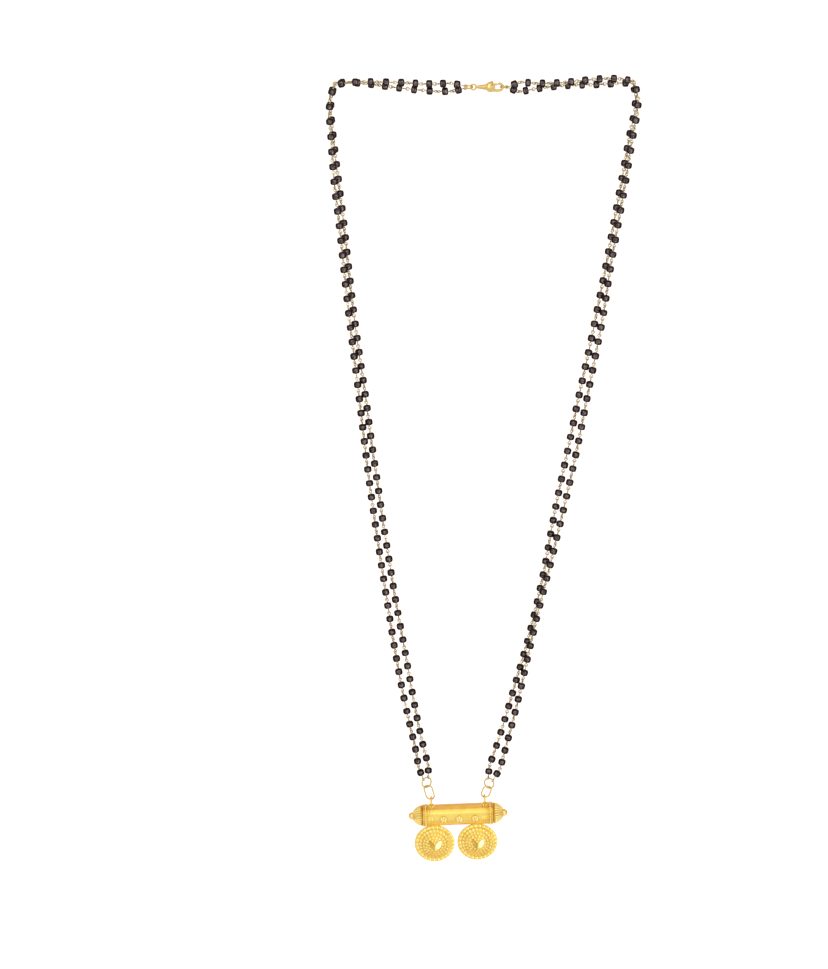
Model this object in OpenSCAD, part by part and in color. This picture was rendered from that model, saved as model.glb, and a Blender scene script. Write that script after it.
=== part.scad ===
// Mangalsutra: two strands of black glass beads on gold eye pins, a claw clasp
// behind the neck, and a gold tube pendant with two cup-shaped vatis.
// Millimetres. +X runs to the wearer's left as seen from the front, +Y away from
// the front, +Z up. The origin is the middle of the run behind the neck.

/* [Beads] */
// Largest diameter of a bead
bead_d = 3.0; // [2.8:0.05:3.05]
// Length of a bead along its thread
bead_l = 2.4; // [1.8:0.1:2.6]
// Radius of the rounded shoulder of a bead
bead_round = 0.65; // [0.4:0.05:0.85]
// Bore of a bead
bead_bore = 0.9; // [0.7:0.05:1.1]
// Beads on each strand from the clasp to the corner of the loop
run_beads = 9; // [8:1:11]
// Beads on each strand from the corner to the pendant
leg_beads = 50; // [44:1:56]

/* [Thread] */
// Diameter of the gold wire that the beads sit on
thread_d = 0.4; // [0.3:0.02:0.5]
// Radius of the eye at each end of a strand, at the middle of its wire
eye_r = 0.65; // [0.62:0.01:0.75]

/* [Rings] */
// Wire diameter of the rings
ring_wire = 0.55; // [0.45:0.05:0.6]
// Outer diameter of the ring at the tail of the clasp
tail_ring_d = 3.4; // [3.2:0.1:3.8]
// Outer diameter of the ring that the claw holds
catch_ring_d = 3.1; // [3.0:0.1:3.4]
// Outer diameter of the upper ring above the pendant
upper_ring_d = 4.6; // [4.2:0.1:5.0]
// Outer width of the oval link above the pendant
link_w = 4.0; // [3.8:0.1:4.6]
// Gap between pieces that hang in each other
hang_gap = 0.1; // [0.08:0.01:0.14]

/* [Pendant tube] */
// Outer diameter of the tube
tube_d = 8.4; // [7.8:0.1:9]
// Length of the tube between its caps
tube_l = 27.6; // [26:0.2:30]
// Wall of the tube
tube_wall = 0.5; // [0.4:0.05:0.8]
// Length of a cap without its finial
cap_l = 3.9; // [3.4:0.1:4.6]
// Diameter of the finial ball
finial_d = 2.8; // [2.2:0.1:3]
// Ribs round a cap
cap_ribs = 22; // [16:1:26]
// Width of the beaded collar at each end of the tube
collar_w = 2.2; // [1.8:0.1:2.6]
// Grains round a collar
collar_grains = 26; // [20:1:28]
// Height of cast relief above the plain gold
relief = 0.35; // [0.2:0.05:0.5]
// Distance between the two bails
bail_span = 21.0; // [19:0.2:22]
// Outer diameter of a bail
bail_d = 3.8; // [3.7:0.1:4]
// Wire diameter of a bail
bail_wire = 0.75; // [0.65:0.05:0.8]
// Distance between the rosettes on the tube
rosette_span = 6.2; // [5.4:0.1:6.6]
// Outer radius of a rosette
rosette_r = 1.5; // [1.2:0.1:1.7]

/* [Vatis] */
// Outer diameter of a vati
vati_d = 15.8; // [15:0.1:16.2]
// Distance between the centres of the vatis
vati_span = 16.9; // [16.6:0.1:17.5]
// Lap of a vati's rim into the underside of the tube
vati_lap = 0.2; // [0.15:0.05:0.4]
// Distance of a vati's rim in front of the middle of the tube
vati_forward = 1.0; // [0.5:0.1:1.4]
// Height of the dome of a vati
vati_rise = 2.6; // [2:0.1:3.2]
// Wall of a vati
vati_wall = 0.6; // [0.5:0.05:0.8]
// Width of the flat rim round a vati
rim_w = 1.5; // [1.2:0.1:1.8]
// Raised pads round the rim of a vati
rim_pads = 26; // [20:1:30]
// Outer diameter of a roundel on a vati
roundel_d = 1.5; // [1.2:0.1:1.6]

/* [Clasp] */
// Outer height of the claw
claw_h = 3.5; // [3.3:0.1:4]
// Thickness of the clasp from front to back
claw_t = 2.0; // [1.8:0.1:2.4]
// Length from the lever's boss to the centre of the claw's nose
claw_reach = 3.2; // [3:0.1:3.6]
// Width of metal round the claw's opening
claw_rim = 0.95; // [0.85:0.05:1]
// Outer diameter of the eye at the tail
tail_eye_d = 2.6; // [2.5:0.1:3.0]
// Wire diameter of the eye at the tail
tail_eye_wire = 0.6; // [0.5:0.05:0.65]
// Thickness of the lever
lever_t = 0.9; // [0.7:0.05:1]
// Rise of the lever's thumb knob above its pin
knob_rise = 0.85; // [0.8:0.05:1.1]
// Diameter of the lever's pin
pin_d = 0.6; // [0.5:0.05:0.65]
// Running clearance round the lever and its pin
lever_gap = 0.07; // [0.05:0.01:0.1]

/* [Hidden] */
gold = "goldenrod";
fine = 48;
eps = 0.01;

// Routes of the pair of strands, from the clasp to the corner and from the corner
// to the pendant. Each row holds the middle of the pair (x, z), the gap between
// the two strands, the turn of the pair (0 is one in front of the other, 90 is
// side by side) and the lead of the inner strand's beads over the outer's.
LEFT_RUN = [
    [-6.9, -0.4, 1.8, 35, 0],
    [-12.4, -0.5, 4.3, 58, 1.0],
    [-19.4, -0.6, 3.4, 60, 0.2],
    [-30.0, 0.2, 3.2, 52, -0.9],
    [-40.0, 1.0, 3.2, 30, 0],
    [-48.0, 1.4, 3.2, 15, 0.8],
    [-54.6, 0.8, 3.2, 0, 0]];
LEFT_LEG = [
    [-54.6, 0.8, 3.2, 0, 0],
    [-56.4, -6.5, 3.2, 5, 0],
    [-55.7, -18, 3.2, 10, 0],
    [-54.3, -35, 3.2, 26, 0.2],
    [-52.4, -52, 3.2, 28, 0.3],
    [-50.8, -69, 3.2, 30, 0.3],
    [-49.1, -86, 3.2, 32, 0.4],
    [-47.1, -103, 3.2, 36, 0.6],
    [-45.0, -120, 3.2, 46, 0.9],
    [-43.1, -137, 3.2, 52, 1.2],
    [-41.0, -154, 3.3, 62, 1.5],
    [-38.8, -171, 3.3, 64, 1.6],
    [-36.4, -188, 3.4, 66, 1.6],
    [-33.9, -205, 3.5, 68, 1.5],
    [-31.2, -222, 3.8, 76, 1.4],
    [-28.4, -239, 3.7, 74, 1.5],
    [-25.6, -254, 3.4, 70, 1.6],
    [-23.3, -265, 3.5, 60, 0.8],
    [-22.0, -271.6, 4.5, 58, -1.0],
    [-21.0, -277.1, 1.9, 60, 0]];
RIGHT_RUN = [
    [8.1, -0.4, 1.5, 20, 0],
    [13.0, -0.4, 4.9, 60, 0.6],
    [20.0, 0.1, 3.4, 42, 0.8],
    [30.0, 0.8, 3.2, 32, 0.9],
    [40.0, 1.5, 3.2, 50, 0.8],
    [48.0, 1.9, 3.2, 46, 0.9],
    [54.2, 1.5, 3.2, 20, 0]];
RIGHT_LEG = [
    [54.2, 1.5, 3.2, 20, 0],
    [55.8, -6, 3.2, 10, 0],
    [53.9, -18, 3.2, 14, 0],
    [51.5, -35, 3.2, 20, 0.1],
    [48.9, -52, 3.2, 24, 0.2],
    [46.3, -69, 3.2, 27, 0.2],
    [43.8, -86, 3.2, 46, 0.3],
    [40.9, -103, 3.2, 54, 0.4],
    [37.8, -120, 3.3, 66, 0.5],
    [34.9, -137, 3.4, 70, 0.6],
    [31.7, -154, 3.4, 72, 0.4],
    [28.5, -171, 3.3, 52, 0.2],
    [25.4, -188, 3.2, 28, 0],
    [21.9, -205, 3.2, 16, 0],
    [18.3, -222, 3.2, 22, 0.4],
    [14.7, -238, 3.2, 46, 1.0],
    [11.4, -252, 3.4, 62, 1.0],
    [8.3, -264, 3.7, 70, 0.6],
    [6.1, -271.9, 4.5, 68, -1.2],
    [4.4, -277.5, 1.9, 60, 0]];
// Middle of the pendant tube and its tilt
PENDANT_AT = [-8.3, 0, -292.65];
pendant_tilt = 2.4;
// Turn of the two oval links about the line that they hang on
LEFT_LINK_TURN = 18;
RIGHT_LINK_TURN = -14;
// Shifts along the tube from its middle
bail_shift = 0.2;
vati_shift = -1.25;
rosette_shift = 0.5;

route_steps = 12;
thread_sides = 8;
eye_steps = 9;
eye_sweep = 300;

function unit(v) = v / norm(v);
function flat(row) = [row[0], 0, row[1]];

// Smooth curve through the rows, a Catmull-Rom blend of each four neighbours
function blend(t, a, b, c, d) =
    (2 * b + (c - a) * t + (2 * a - 5 * b + 4 * c - d) * t * t
    + (3 * b - a - 3 * c + d) * t * t * t) / 2;
function smooth(rows) = [
    for (i = [0 : len(rows) - 2]) for (k = [0 : route_steps - 1])
        blend(k / route_steps, rows[max(i - 1, 0)], rows[i], rows[i + 1],
            rows[min(i + 2, len(rows) - 1)]),
    rows[len(rows) - 1]];

// Direction of the pair at a row, and the way outwards from the loop
function heading(rows, i) =
    unit(flat(rows[min(i + 1, len(rows) - 1)]) - flat(rows[max(i - 1, 0)]));
function outward(dir, hand) = hand * [-dir[2], 0, dir[0]];
function pair_way(row, dir, hand) =
    sin(row[3]) * outward(dir, hand) + cos(row[3]) * [0, -1, 0];
// One strand of the pair: side 1 is the outer strand, -1 the inner
function strand_line(rows, hand, side) = [
    for (i = [0 : len(rows) - 1])
        flat(rows[i]) + side * rows[i][2] / 2 * pair_way(rows[i], heading(rows, i), hand)];
function run_lengths(pts) = [
    for (i = 0, s = 0; i < len(pts); s = i + 1 < len(pts) ? s + norm(pts[i + 1] - pts[i]) : s,
        i = i + 1) s];
function at_length(pts, lengths, s) = [
    for (axis = [0 : 2]) lookup(s, [for (i = [0 : len(pts) - 1]) [lengths[i], pts[i][axis]]])];
// Points an equal length apart, moved along by the lead of the strand
function stations(rows, hand, side, n) =
    let (fine_rows = smooth(rows), pts = strand_line(fine_rows, hand, side),
        lengths = run_lengths(pts), total = lengths[len(pts) - 1])
    [for (k = [0 : n])
        let (s = total * k / n, lead = lookup(s, [
            for (i = [0 : len(pts) - 1]) [lengths[i], fine_rows[i][4]]]))
        at_length(pts, lengths, s + side * lead / 2)];
// Where the eye pins of a strand hook into each other, from clasp to pendant
function hooks(run, leg, hand, side) = concat(
    stations(run, hand, side, run_beads),
    let (leg_points = stations(leg, hand, side, leg_beads))
    [for (i = [1 : leg_beads]) leg_points[i]]);

LEFT_OUTER = hooks(LEFT_RUN, LEFT_LEG, -1, 1);
LEFT_INNER = hooks(LEFT_RUN, LEFT_LEG, -1, -1);
RIGHT_OUTER = hooks(RIGHT_RUN, RIGHT_LEG, 1, 1);
RIGHT_INNER = hooks(RIGHT_RUN, RIGHT_LEG, 1, -1);

// Frame of the ring at an end of a route: [middle, way out of the route, way across]
function end_frame(rows, hand, ring_d, first) =
    let (fine_rows = smooth(rows), i = first ? 0 : len(fine_rows) - 1,
        dir = heading(fine_rows, i), out = first ? -dir : dir,
        r = (ring_d - ring_wire) / 2, half = fine_rows[i][2] / 2)
    [flat(fine_rows[i]) + out * sqrt(r * r - half * half), out,
        pair_way(fine_rows[i], dir, hand)];
TAIL_FRAME = end_frame(LEFT_RUN, -1, tail_ring_d, true);
CATCH_FRAME = end_frame(RIGHT_RUN, 1, catch_ring_d, true);
LEFT_FRAME = end_frame(LEFT_LEG, -1, upper_ring_d, false);
RIGHT_FRAME = end_frame(RIGHT_LEG, 1, upper_ring_d, false);

// Eye round a ring's wire, square to it, that starts where the thread comes in
function eye_points(hook, frame) =
    let (side = unit(cross(frame[1], frame[2])), radial = unit(hook - frame[0]))
    [for (k = [0 : eye_steps])
        let (a = eye_sweep * k / eye_steps)
        hook + eye_r * cos(a) * radial + eye_r * sin(a) * side];
function reversed(list) = [for (i = [len(list) - 1 : -1 : 0]) list[i]];
function inner_part(list) = [for (i = [1 : len(list) - 2]) list[i]];
function thread_line(pts, first_frame, last_frame) = concat(
    reversed(eye_points(pts[0], first_frame)),
    inner_part(pts),
    eye_points(pts[len(pts) - 1], last_frame));
// The same line without its eyes, which the beads sit on
function bead_line(pts, first_frame, last_frame) = concat(
    [eye_points(pts[0], first_frame)[0]],
    inner_part(pts),
    [eye_points(pts[len(pts) - 1], last_frame)[0]]);

// Links between the upper rings and the bails
bail_r = (bail_d - bail_wire) / 2;
bail_lift = 0.1;
bail_z = tube_d / 2 + bail_d / 2 + bail_lift;
hinge_z = bail_z + bail_r - bail_wire / 2 - ring_wire / 2 - hang_gap;
function on_pendant(p) = PENDANT_AT + [
    p[0] * cos(pendant_tilt) - p[2] * sin(pendant_tilt), p[1],
    p[0] * sin(pendant_tilt) + p[2] * cos(pendant_tilt)];
LEFT_HINGE = on_pendant([bail_shift - bail_span / 2, 0, hinge_z]);
RIGHT_HINGE = on_pendant([bail_shift + bail_span / 2, 0, hinge_z]);
function link_top(frame) =
    frame[0] + frame[1] * ((upper_ring_d - ring_wire) / 2 - ring_wire - hang_gap);

// Pendant places that follow from the sizes
tube_r = tube_d / 2;
collar_edge = collar_w / 6;
grain_r = (collar_w - 2 * collar_edge) * 0.29;
rib_w = PI * tube_d / cap_ribs * 0.5;
cap_gap = 0.1;
cap_arc_r = tube_r * 1.6;
cap_foot_r = tube_r - relief;
cap_tip_r = finial_d * 0.55;
// Way from the arc's foot to its tip, and the arc's middle, as (radius, place along X)
cap_chord = [cap_tip_r - cap_foot_r, cap_l];
cap_arc_at = [cap_foot_r, 0] + cap_chord / 2 + [-cap_chord[1], cap_chord[0]] / norm(cap_chord)
    * sqrt(pow(cap_arc_r, 2) - pow(norm(cap_chord) / 2, 2));
rosette_fall = 3;
dome_foot = vati_d / 2 - rim_w;
dome_r = (dome_foot * dome_foot + vati_rise * vati_rise) / (2 * vati_rise);
vati_drop = vati_d / 2 + sqrt(tube_r * tube_r - vati_forward * vati_forward) - vati_lap;
pad_gap = 0.3;
// Rings of roundels as [number in a full turn, share of the dome's radius], which leave
// out the lower part of the dome, where broad petals stand
ROUNDEL_RINGS = [[17, 0.79], [10, 0.49]];
roundel_end = 122;
PETAL_TURNS = [-46, -23, 0, 23, 46];

// Clasp places, between the ring at its tail and the ring in its claw
run_z = LEFT_RUN[0][1];
tail_eye_r = (tail_eye_d - tail_eye_wire) / 2;
tail_eye_x = TAIL_FRAME[0][0] + (tail_ring_d - ring_wire) / 2
    - (tail_eye_wire + ring_wire) / 2 - hang_gap + tail_eye_r;
claw_arm_r = (claw_h - claw_rim) / 2;
nose_x = CATCH_FRAME[0][0] - (catch_ring_d - ring_wire) / 2 + ring_wire / 2 + hang_gap
    + claw_rim / 2 - claw_arm_r;
boss_x = nose_x - claw_reach;
hub_wall = 0.3;
lever_hub_r = pin_d / 2 + hub_wall;
slot_depth = 0.6;
pin_x = boss_x + 0.5;
pin_z = run_z + claw_arm_r - hub_wall;

module place(at, out, across) {
    third = cross(out, across);
    multmatrix([[out[0], across[0], third[0], at[0]],
        [out[1], across[1], third[1], at[1]],
        [out[2], across[2], third[2], at[2]], [0, 0, 0, 1]]) children();
}

module ring(d, wire) {
    rotate_extrude($fn = fine) translate([(d - wire) / 2, 0]) circle(d = wire, $fn = 24);
}

// Sits along X from the first point to the second
module between(a, b, turn) {
    dir = unit(b - a);
    side = unit(cross([0, 1, 0], dir));
    place((a + b) / 2, dir, cos(turn) * side + sin(turn) * cross(dir, side)) children();
}

// Oval link whose wire runs through both ends of its length along X
module oval_link(length) {
    r = (link_w - ring_wire) / 2;
    straight = round((length - 2 * r) * 100) / 100;
    for (e = [-1, 1]) {
        translate([e * straight / 2, 0, 0]) rotate([0, 0, -90 * e])
            rotate_extrude(angle = 180, $fn = fine) translate([r, 0])
                circle(d = ring_wire, $fn = 24);
        translate([-straight / 2, e * r, 0]) rotate([0, 90, 0])
            cylinder(d = ring_wire, h = straight, $fn = 24);
    }
}

module bead() {
    rotate([0, 90, 0]) rotate_extrude($fn = 32) difference() {
        union() {
            translate([0, -bead_l / 2]) square([bead_d / 2 - bead_round, bead_l]);
            translate([0, bead_round - bead_l / 2])
                square([bead_d / 2, bead_l - 2 * bead_round]);
            for (e = [-1, 1]) translate([bead_d / 2 - bead_round, e * (bead_l / 2 - bead_round)])
                circle(r = bead_round, $fn = 32);
        }
        translate([-bead_d, -bead_l]) square([bead_d + bead_bore / 2, 2 * bead_l]);
    }
}

module bead_string(pts) {
    for (i = [0 : len(pts) - 2]) between(pts[i], pts[i + 1], 0) bead();
}

// Round tube along a line of points, with flat ends
module thread(pts) {
    n = len(pts);
    ways = [for (i = [0 : n - 1]) unit(pts[min(i + 1, n - 1)] - pts[max(i - 1, 0)])];
    side = [for (i = [0 : n - 1]) unit(cross(ways[i], [0, 1, 0]))];
    polyhedron(
        points = [for (i = [0 : n - 1]) for (k = [0 : thread_sides - 1])
            let (a = 360 * k / thread_sides)
            pts[i] + thread_d / 2 * (cos(a) * side[i] + sin(a) * cross(side[i], ways[i]))],
        faces = concat(
            [[for (k = [0 : thread_sides - 1]) k]],
            [for (i = [0 : n - 2]) for (k = [0 : thread_sides - 1])
                let (a = i * thread_sides + k, b = i * thread_sides + (k + 1) % thread_sides)
                [a, a + thread_sides, b + thread_sides, b]],
            [[for (k = [thread_sides - 1 : -1 : 0]) (n - 1) * thread_sides + k]]));
}

module left_outer_beads() {
    color("black") bead_string(bead_line(LEFT_OUTER, TAIL_FRAME, LEFT_FRAME));
}
module left_inner_beads() {
    color("black") bead_string(bead_line(LEFT_INNER, TAIL_FRAME, LEFT_FRAME));
}
module right_outer_beads() {
    color("black") bead_string(bead_line(RIGHT_OUTER, CATCH_FRAME, RIGHT_FRAME));
}
module right_inner_beads() {
    color("black") bead_string(bead_line(RIGHT_INNER, CATCH_FRAME, RIGHT_FRAME));
}

module left_outer_wire() { color(gold) thread(thread_line(LEFT_OUTER, TAIL_FRAME, LEFT_FRAME)); }
module left_inner_wire() { color(gold) thread(thread_line(LEFT_INNER, TAIL_FRAME, LEFT_FRAME)); }
module right_outer_wire() {
    color(gold) thread(thread_line(RIGHT_OUTER, CATCH_FRAME, RIGHT_FRAME));
}
module right_inner_wire() {
    color(gold) thread(thread_line(RIGHT_INNER, CATCH_FRAME, RIGHT_FRAME));
}

module tail_ring() {
    color(gold) place(TAIL_FRAME[0], TAIL_FRAME[1], TAIL_FRAME[2]) ring(tail_ring_d, ring_wire);
}
module catch_ring() {
    color(gold) place(CATCH_FRAME[0], CATCH_FRAME[1], CATCH_FRAME[2])
        ring(catch_ring_d, ring_wire);
}
module left_upper_ring() {
    color(gold) place(LEFT_FRAME[0], LEFT_FRAME[1], LEFT_FRAME[2]) ring(upper_ring_d, ring_wire);
}
module right_upper_ring() {
    color(gold) place(RIGHT_FRAME[0], RIGHT_FRAME[1], RIGHT_FRAME[2])
        ring(upper_ring_d, ring_wire);
}
module left_link() {
    color(gold) between(link_top(LEFT_FRAME), LEFT_HINGE, LEFT_LINK_TURN)
        oval_link(norm(LEFT_HINGE - link_top(LEFT_FRAME)));
}
module right_link() {
    color(gold) between(link_top(RIGHT_FRAME), RIGHT_HINGE, RIGHT_LINK_TURN)
        oval_link(norm(RIGHT_HINGE - link_top(RIGHT_FRAME)));
}

// Solid of revolution about X, from a profile drawn as (radius, place along X)
module round_x() {
    rotate([0, 90, 0]) rotate_extrude($fn = fine) children();
}

// Drawing seen from the front and given depth towards the front
module facing(depth) {
    rotate([90, 0, 0]) linear_extrude(height = depth) children();
}

// Pointed petal along +Y, from one radius to another
module petal(r0, r1, half_w) {
    half_l = (r1 - r0) / 2;
    arc_r = (half_l * half_l + half_w * half_w) / (2 * half_w);
    translate([0, (r0 + r1) / 2]) intersection() {
        translate([arc_r - half_w, 0]) circle(r = arc_r, $fn = fine);
        translate([half_w - arc_r, 0]) circle(r = arc_r, $fn = fine);
    }
}

module petals(count, r0, r1, half_w) {
    for (i = [0 : count - 1]) rotate(360 * i / count) petal(r0, r1, half_w);
}

module tube_shell() {
    round_x() translate([tube_r - tube_wall, -tube_l / 2]) square([tube_wall, tube_l]);
}

// Two thin rings with a row of grains between them
module collar() {
    for (e = [-1, 1]) round_x()
        translate([tube_r - tube_wall / 2, e * (collar_w - collar_edge) / 2 - collar_edge / 2])
            square([tube_wall / 2 + relief, collar_edge]);
    for (i = [0 : collar_grains - 1]) rotate([360 * (i + 0.5) / collar_grains, 0, 0])
        translate([0, 0, tube_r]) sphere(r = grain_r, $fn = 16);
}

module rosettes() {
    rotate([rosette_fall, 0, 0]) intersection() {
        round_x() translate([tube_r - eps * 5, -tube_l / 2]) square([relief + eps * 5, tube_l]);
        facing(tube_d) for (i = [-1 : 1]) translate([rosette_shift + i * rosette_span, 0]) {
            circle(r = rosette_r * 0.24, $fn = 24);
            petals(5, rosette_r * 0.34, rosette_r, rosette_r * 0.24);
        }
    }
}

// Loop on the tube that an oval link hangs in, on a grained seat
module bail() {
    translate([0, 0, bail_z]) rotate([0, 90, 0]) ring(bail_d, bail_wire);
    translate([0, 0, tube_r - tube_wall / 2])
        cylinder(d = bail_wire * 1.6, h = bail_z - bail_r - tube_r + tube_wall / 2);
    for (i = [0 : 5]) rotate([0, 0, 60 * i])
        translate([bail_wire * 1.3, 0, tube_r - tube_wall / 4]) sphere(r = bail_wire * 0.6, $fn = 16);
}

// Profile of a vati as (radius, height towards the front)
module vati_profile() {
    intersection() {
        translate([0, vati_rise - dome_r]) difference() {
            circle(r = dome_r, $fn = 2 * fine);
            circle(r = dome_r - vati_wall, $fn = 2 * fine);
        }
        square([dome_foot, vati_rise + eps]);
    }
    translate([dome_foot - vati_wall, -vati_wall / 2])
        square([rim_w + vati_wall - vati_wall / 2, vati_wall]);
    translate([vati_d / 2 - vati_wall / 2, 0]) circle(d = vati_wall, $fn = 24);
}

// Rings with a grain inside, round the upper part of a vati
module roundels() {
    for (row = ROUNDEL_RINGS) for (i = [0 : row[0] - 1])
        let (turn = 360 * (i + 0.5) / row[0] - 180)
        if (abs(turn) < roundel_end) rotate(turn) translate([0, dome_foot * row[1]]) {
            difference() {
                circle(d = roundel_d, $fn = 24);
                circle(d = roundel_d * 0.62, $fn = 24);
            }
            circle(d = roundel_d * 0.28, $fn = 12);
        }
}

// Flat rim cut into pads by radial grooves
module rim_outline() {
    difference() {
        circle(r = vati_d / 2 - vati_wall / 2, $fn = 2 * fine);
        circle(r = dome_foot, $fn = 2 * fine);
        for (i = [0 : rim_pads - 1]) rotate(360 * i / rim_pads)
            translate([-pad_gap / 2, 0]) square([pad_gap, vati_d]);
    }
}

module vati() {
    rotate([90, 0, 0]) rotate_extrude($fn = 2 * fine) vati_profile();
    facing(vati_wall / 2 + relief * 0.6) rim_outline();
    intersection() {
        rotate([90, 0, 0]) rotate_extrude($fn = 2 * fine) intersection() {
            translate([0, vati_rise - dome_r]) difference() {
                circle(r = dome_r + relief, $fn = 2 * fine);
                circle(r = dome_r - vati_wall / 2, $fn = 2 * fine);
            }
            square([dome_foot, vati_rise + 1]);
        }
        facing(vati_rise + 1) {
            for (e = [-1, 1]) translate([0, -dome_foot * 0.3]) rotate(e * 24)
                petal(dome_foot * 0.04, dome_foot * 0.56, dome_foot * 0.11);
            for (turn = PETAL_TURNS) rotate(180 + turn)
                petal(dome_foot * 0.42, dome_foot * 0.95, dome_foot * 0.12);
            roundels();
        }
    }
}

module on_tube() {
    translate(PENDANT_AT) rotate([0, -pendant_tilt, 0]) children();
}

module pendant_body() {
    color(gold) on_tube() {
        tube_shell();
        for (e = [-1, 1]) {
            translate([e * (tube_l - collar_w) / 2, 0, 0]) collar();
            translate([bail_shift + e * bail_span / 2, 0, 0]) bail();
            translate([vati_shift + e * vati_span / 2, -vati_forward, -vati_drop]) vati();
        }
        rosettes();
    }
}

// Outline of a cap as (radius, place along X), grown by some relief
module cap_outline(grown) {
    intersection() {
        translate(cap_arc_at) circle(r = cap_arc_r + grown, $fn = 2 * fine);
        square([tube_r, cap_l]);
    }
}

// Ribbed dome that closes an end of the tube, with a finial ball on its tip
module cap() {
    plug_r = tube_r - tube_wall - cap_gap;
    ball_x = cap_l + finial_d * 0.1;
    color(gold) translate([tube_l / 2 + cap_gap, 0, 0]) {
        round_x() difference() {
            union() {
                cap_outline(0);
                square([tube_r, collar_w / 4]);
                translate([0, -collar_w / 2]) square([plug_r, collar_w]);
                square([finial_d * 0.4, ball_x]);
                intersection() {
                    translate([0, ball_x]) circle(d = finial_d, $fn = fine);
                    square([finial_d, ball_x + finial_d]);
                }
            }
            translate([-eps, -collar_w]) square([plug_r - tube_wall, collar_w + cap_l / 5]);
        }
        intersection() {
            round_x() difference() {
                cap_outline(relief);
                translate([-eps, -eps]) square([cap_tip_r * 0.9, cap_l + 1]);
            }
            translate([collar_w / 8, 0, 0]) rotate([90, 0, 90])
                linear_extrude(height = cap_l - collar_w / 4) for (i = [0 : cap_ribs - 1])
                    rotate(360 * i / cap_ribs) translate([tube_r * 0.3, -rib_w / 2])
                        square([tube_r, rib_w]);
        }
    }
}

module left_cap() { on_tube() mirror([1, 0, 0]) cap(); }
module right_cap() { on_tube() cap(); }

// Eye, tapered shank, boss for the lever's pin and the hooked claw
module clasp_body() {
    color(gold) difference() {
        union() {
            translate([tail_eye_x, 0, run_z]) rotate([90, 0, 0]) ring(tail_eye_d, tail_eye_wire);
            translate([tail_eye_x + tail_eye_r, 0, run_z]) rotate([0, 90, 0])
                cylinder(r1 = tail_eye_wire * 0.8, r2 = claw_h * 0.36,
                    h = boss_x - tail_eye_x - tail_eye_r);
            translate([boss_x, 0, run_z]) rotate([90, 0, 0])
                cylinder(r = claw_h / 2, h = claw_t, center = true, $fn = fine);
            translate([boss_x, 0, run_z - claw_arm_r]) rotate([0, 90, 0])
                cylinder(d = claw_rim, h = nose_x - boss_x, $fn = 32);
            translate([nose_x, 0, run_z]) rotate([90, 0, 0]) rotate([0, 0, -90])
                rotate_extrude(angle = 180, $fn = fine) translate([claw_arm_r, 0])
                    circle(d = claw_rim, $fn = 32);
            translate([nose_x, 0, run_z + claw_arm_r]) sphere(d = claw_rim, $fn = 32);
        }
        translate([pin_x - lever_hub_r - lever_gap * 2, -lever_t / 2 - lever_gap,
            pin_z - lever_hub_r - slot_depth])
            cube([claw_h, lever_t + 2 * lever_gap, claw_h]);
        translate([pin_x, 0, pin_z]) rotate([90, 0, 0])
            cylinder(d = pin_d + 2 * lever_gap, h = claw_t * 2, center = true, $fn = 32);
    }
}

// Hub on a pin, arm that closes the claw from inside and a thumb knob
module clasp_lever() {
    arm_d = lever_t * 0.9;
    arm_l = nose_x - claw_rim / 2 - hang_gap - arm_d / 2 - pin_x;
    color(gold) translate([pin_x, 0, pin_z]) {
        rotate([90, 0, 0]) cylinder(r = lever_hub_r, h = lever_t, center = true, $fn = 32);
        rotate([90, 0, 0]) cylinder(d = pin_d, h = claw_t, center = true, $fn = 32);
        rotate([0, 90, 0]) cylinder(d = arm_d, h = arm_l, $fn = 32);
        translate([arm_l, 0, 0]) sphere(d = arm_d, $fn = 32);
        translate([0, 0, knob_rise]) sphere(d = lever_t * 1.2, $fn = 32);
        cylinder(d = arm_d, h = knob_rise, $fn = 32);
    }
}

left_outer_beads();
left_inner_beads();
right_outer_beads();
right_inner_beads();
left_outer_wire();
left_inner_wire();
right_outer_wire();
right_inner_wire();
tail_ring();
catch_ring();
left_upper_ring();
right_upper_ring();
left_link();
right_link();
clasp_body();
clasp_lever();
pendant_body();
left_cap();
right_cap();
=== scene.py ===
"""Mangalsutra: two strands of black glass beads on gold eye pins, a claw clasp and a
gold tube pendant with two bowl-shaped vatis.

Every length here is in millimetres until a mesh is written, which is in metres. +X runs
along the tube, +Y away from the front and +Z up, with the origin behind the neck.
"""

import logging
import math
from dataclasses import dataclass, field
from enum import Enum

import bpy
import numpy as np
import numpy.typing as npt
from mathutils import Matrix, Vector

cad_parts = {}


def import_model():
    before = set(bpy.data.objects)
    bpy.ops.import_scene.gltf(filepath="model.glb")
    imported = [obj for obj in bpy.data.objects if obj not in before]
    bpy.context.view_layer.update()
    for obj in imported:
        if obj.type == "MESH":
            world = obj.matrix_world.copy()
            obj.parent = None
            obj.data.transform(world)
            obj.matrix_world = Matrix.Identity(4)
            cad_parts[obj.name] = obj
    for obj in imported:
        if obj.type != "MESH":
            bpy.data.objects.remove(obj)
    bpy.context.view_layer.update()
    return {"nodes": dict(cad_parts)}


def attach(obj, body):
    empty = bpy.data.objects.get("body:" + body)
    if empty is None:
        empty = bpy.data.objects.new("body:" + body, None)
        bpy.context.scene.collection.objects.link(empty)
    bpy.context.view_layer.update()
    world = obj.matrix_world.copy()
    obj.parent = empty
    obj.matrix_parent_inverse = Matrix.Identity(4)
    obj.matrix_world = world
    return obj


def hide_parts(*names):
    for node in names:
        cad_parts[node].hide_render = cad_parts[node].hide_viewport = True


LOG = logging.getLogger("mangalsutra")
MM = 0.001

# Edges that turn by more degrees than this stay sharp
SHARP_ANGLE = 50.0

Values = npt.NDArray[np.float64]
Corners = npt.NDArray[np.int64]
Rows = list[tuple[float, ...]]
Levels = tuple[tuple[float, float, float], ...]
Colour = tuple[float, float, float, float]


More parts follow.
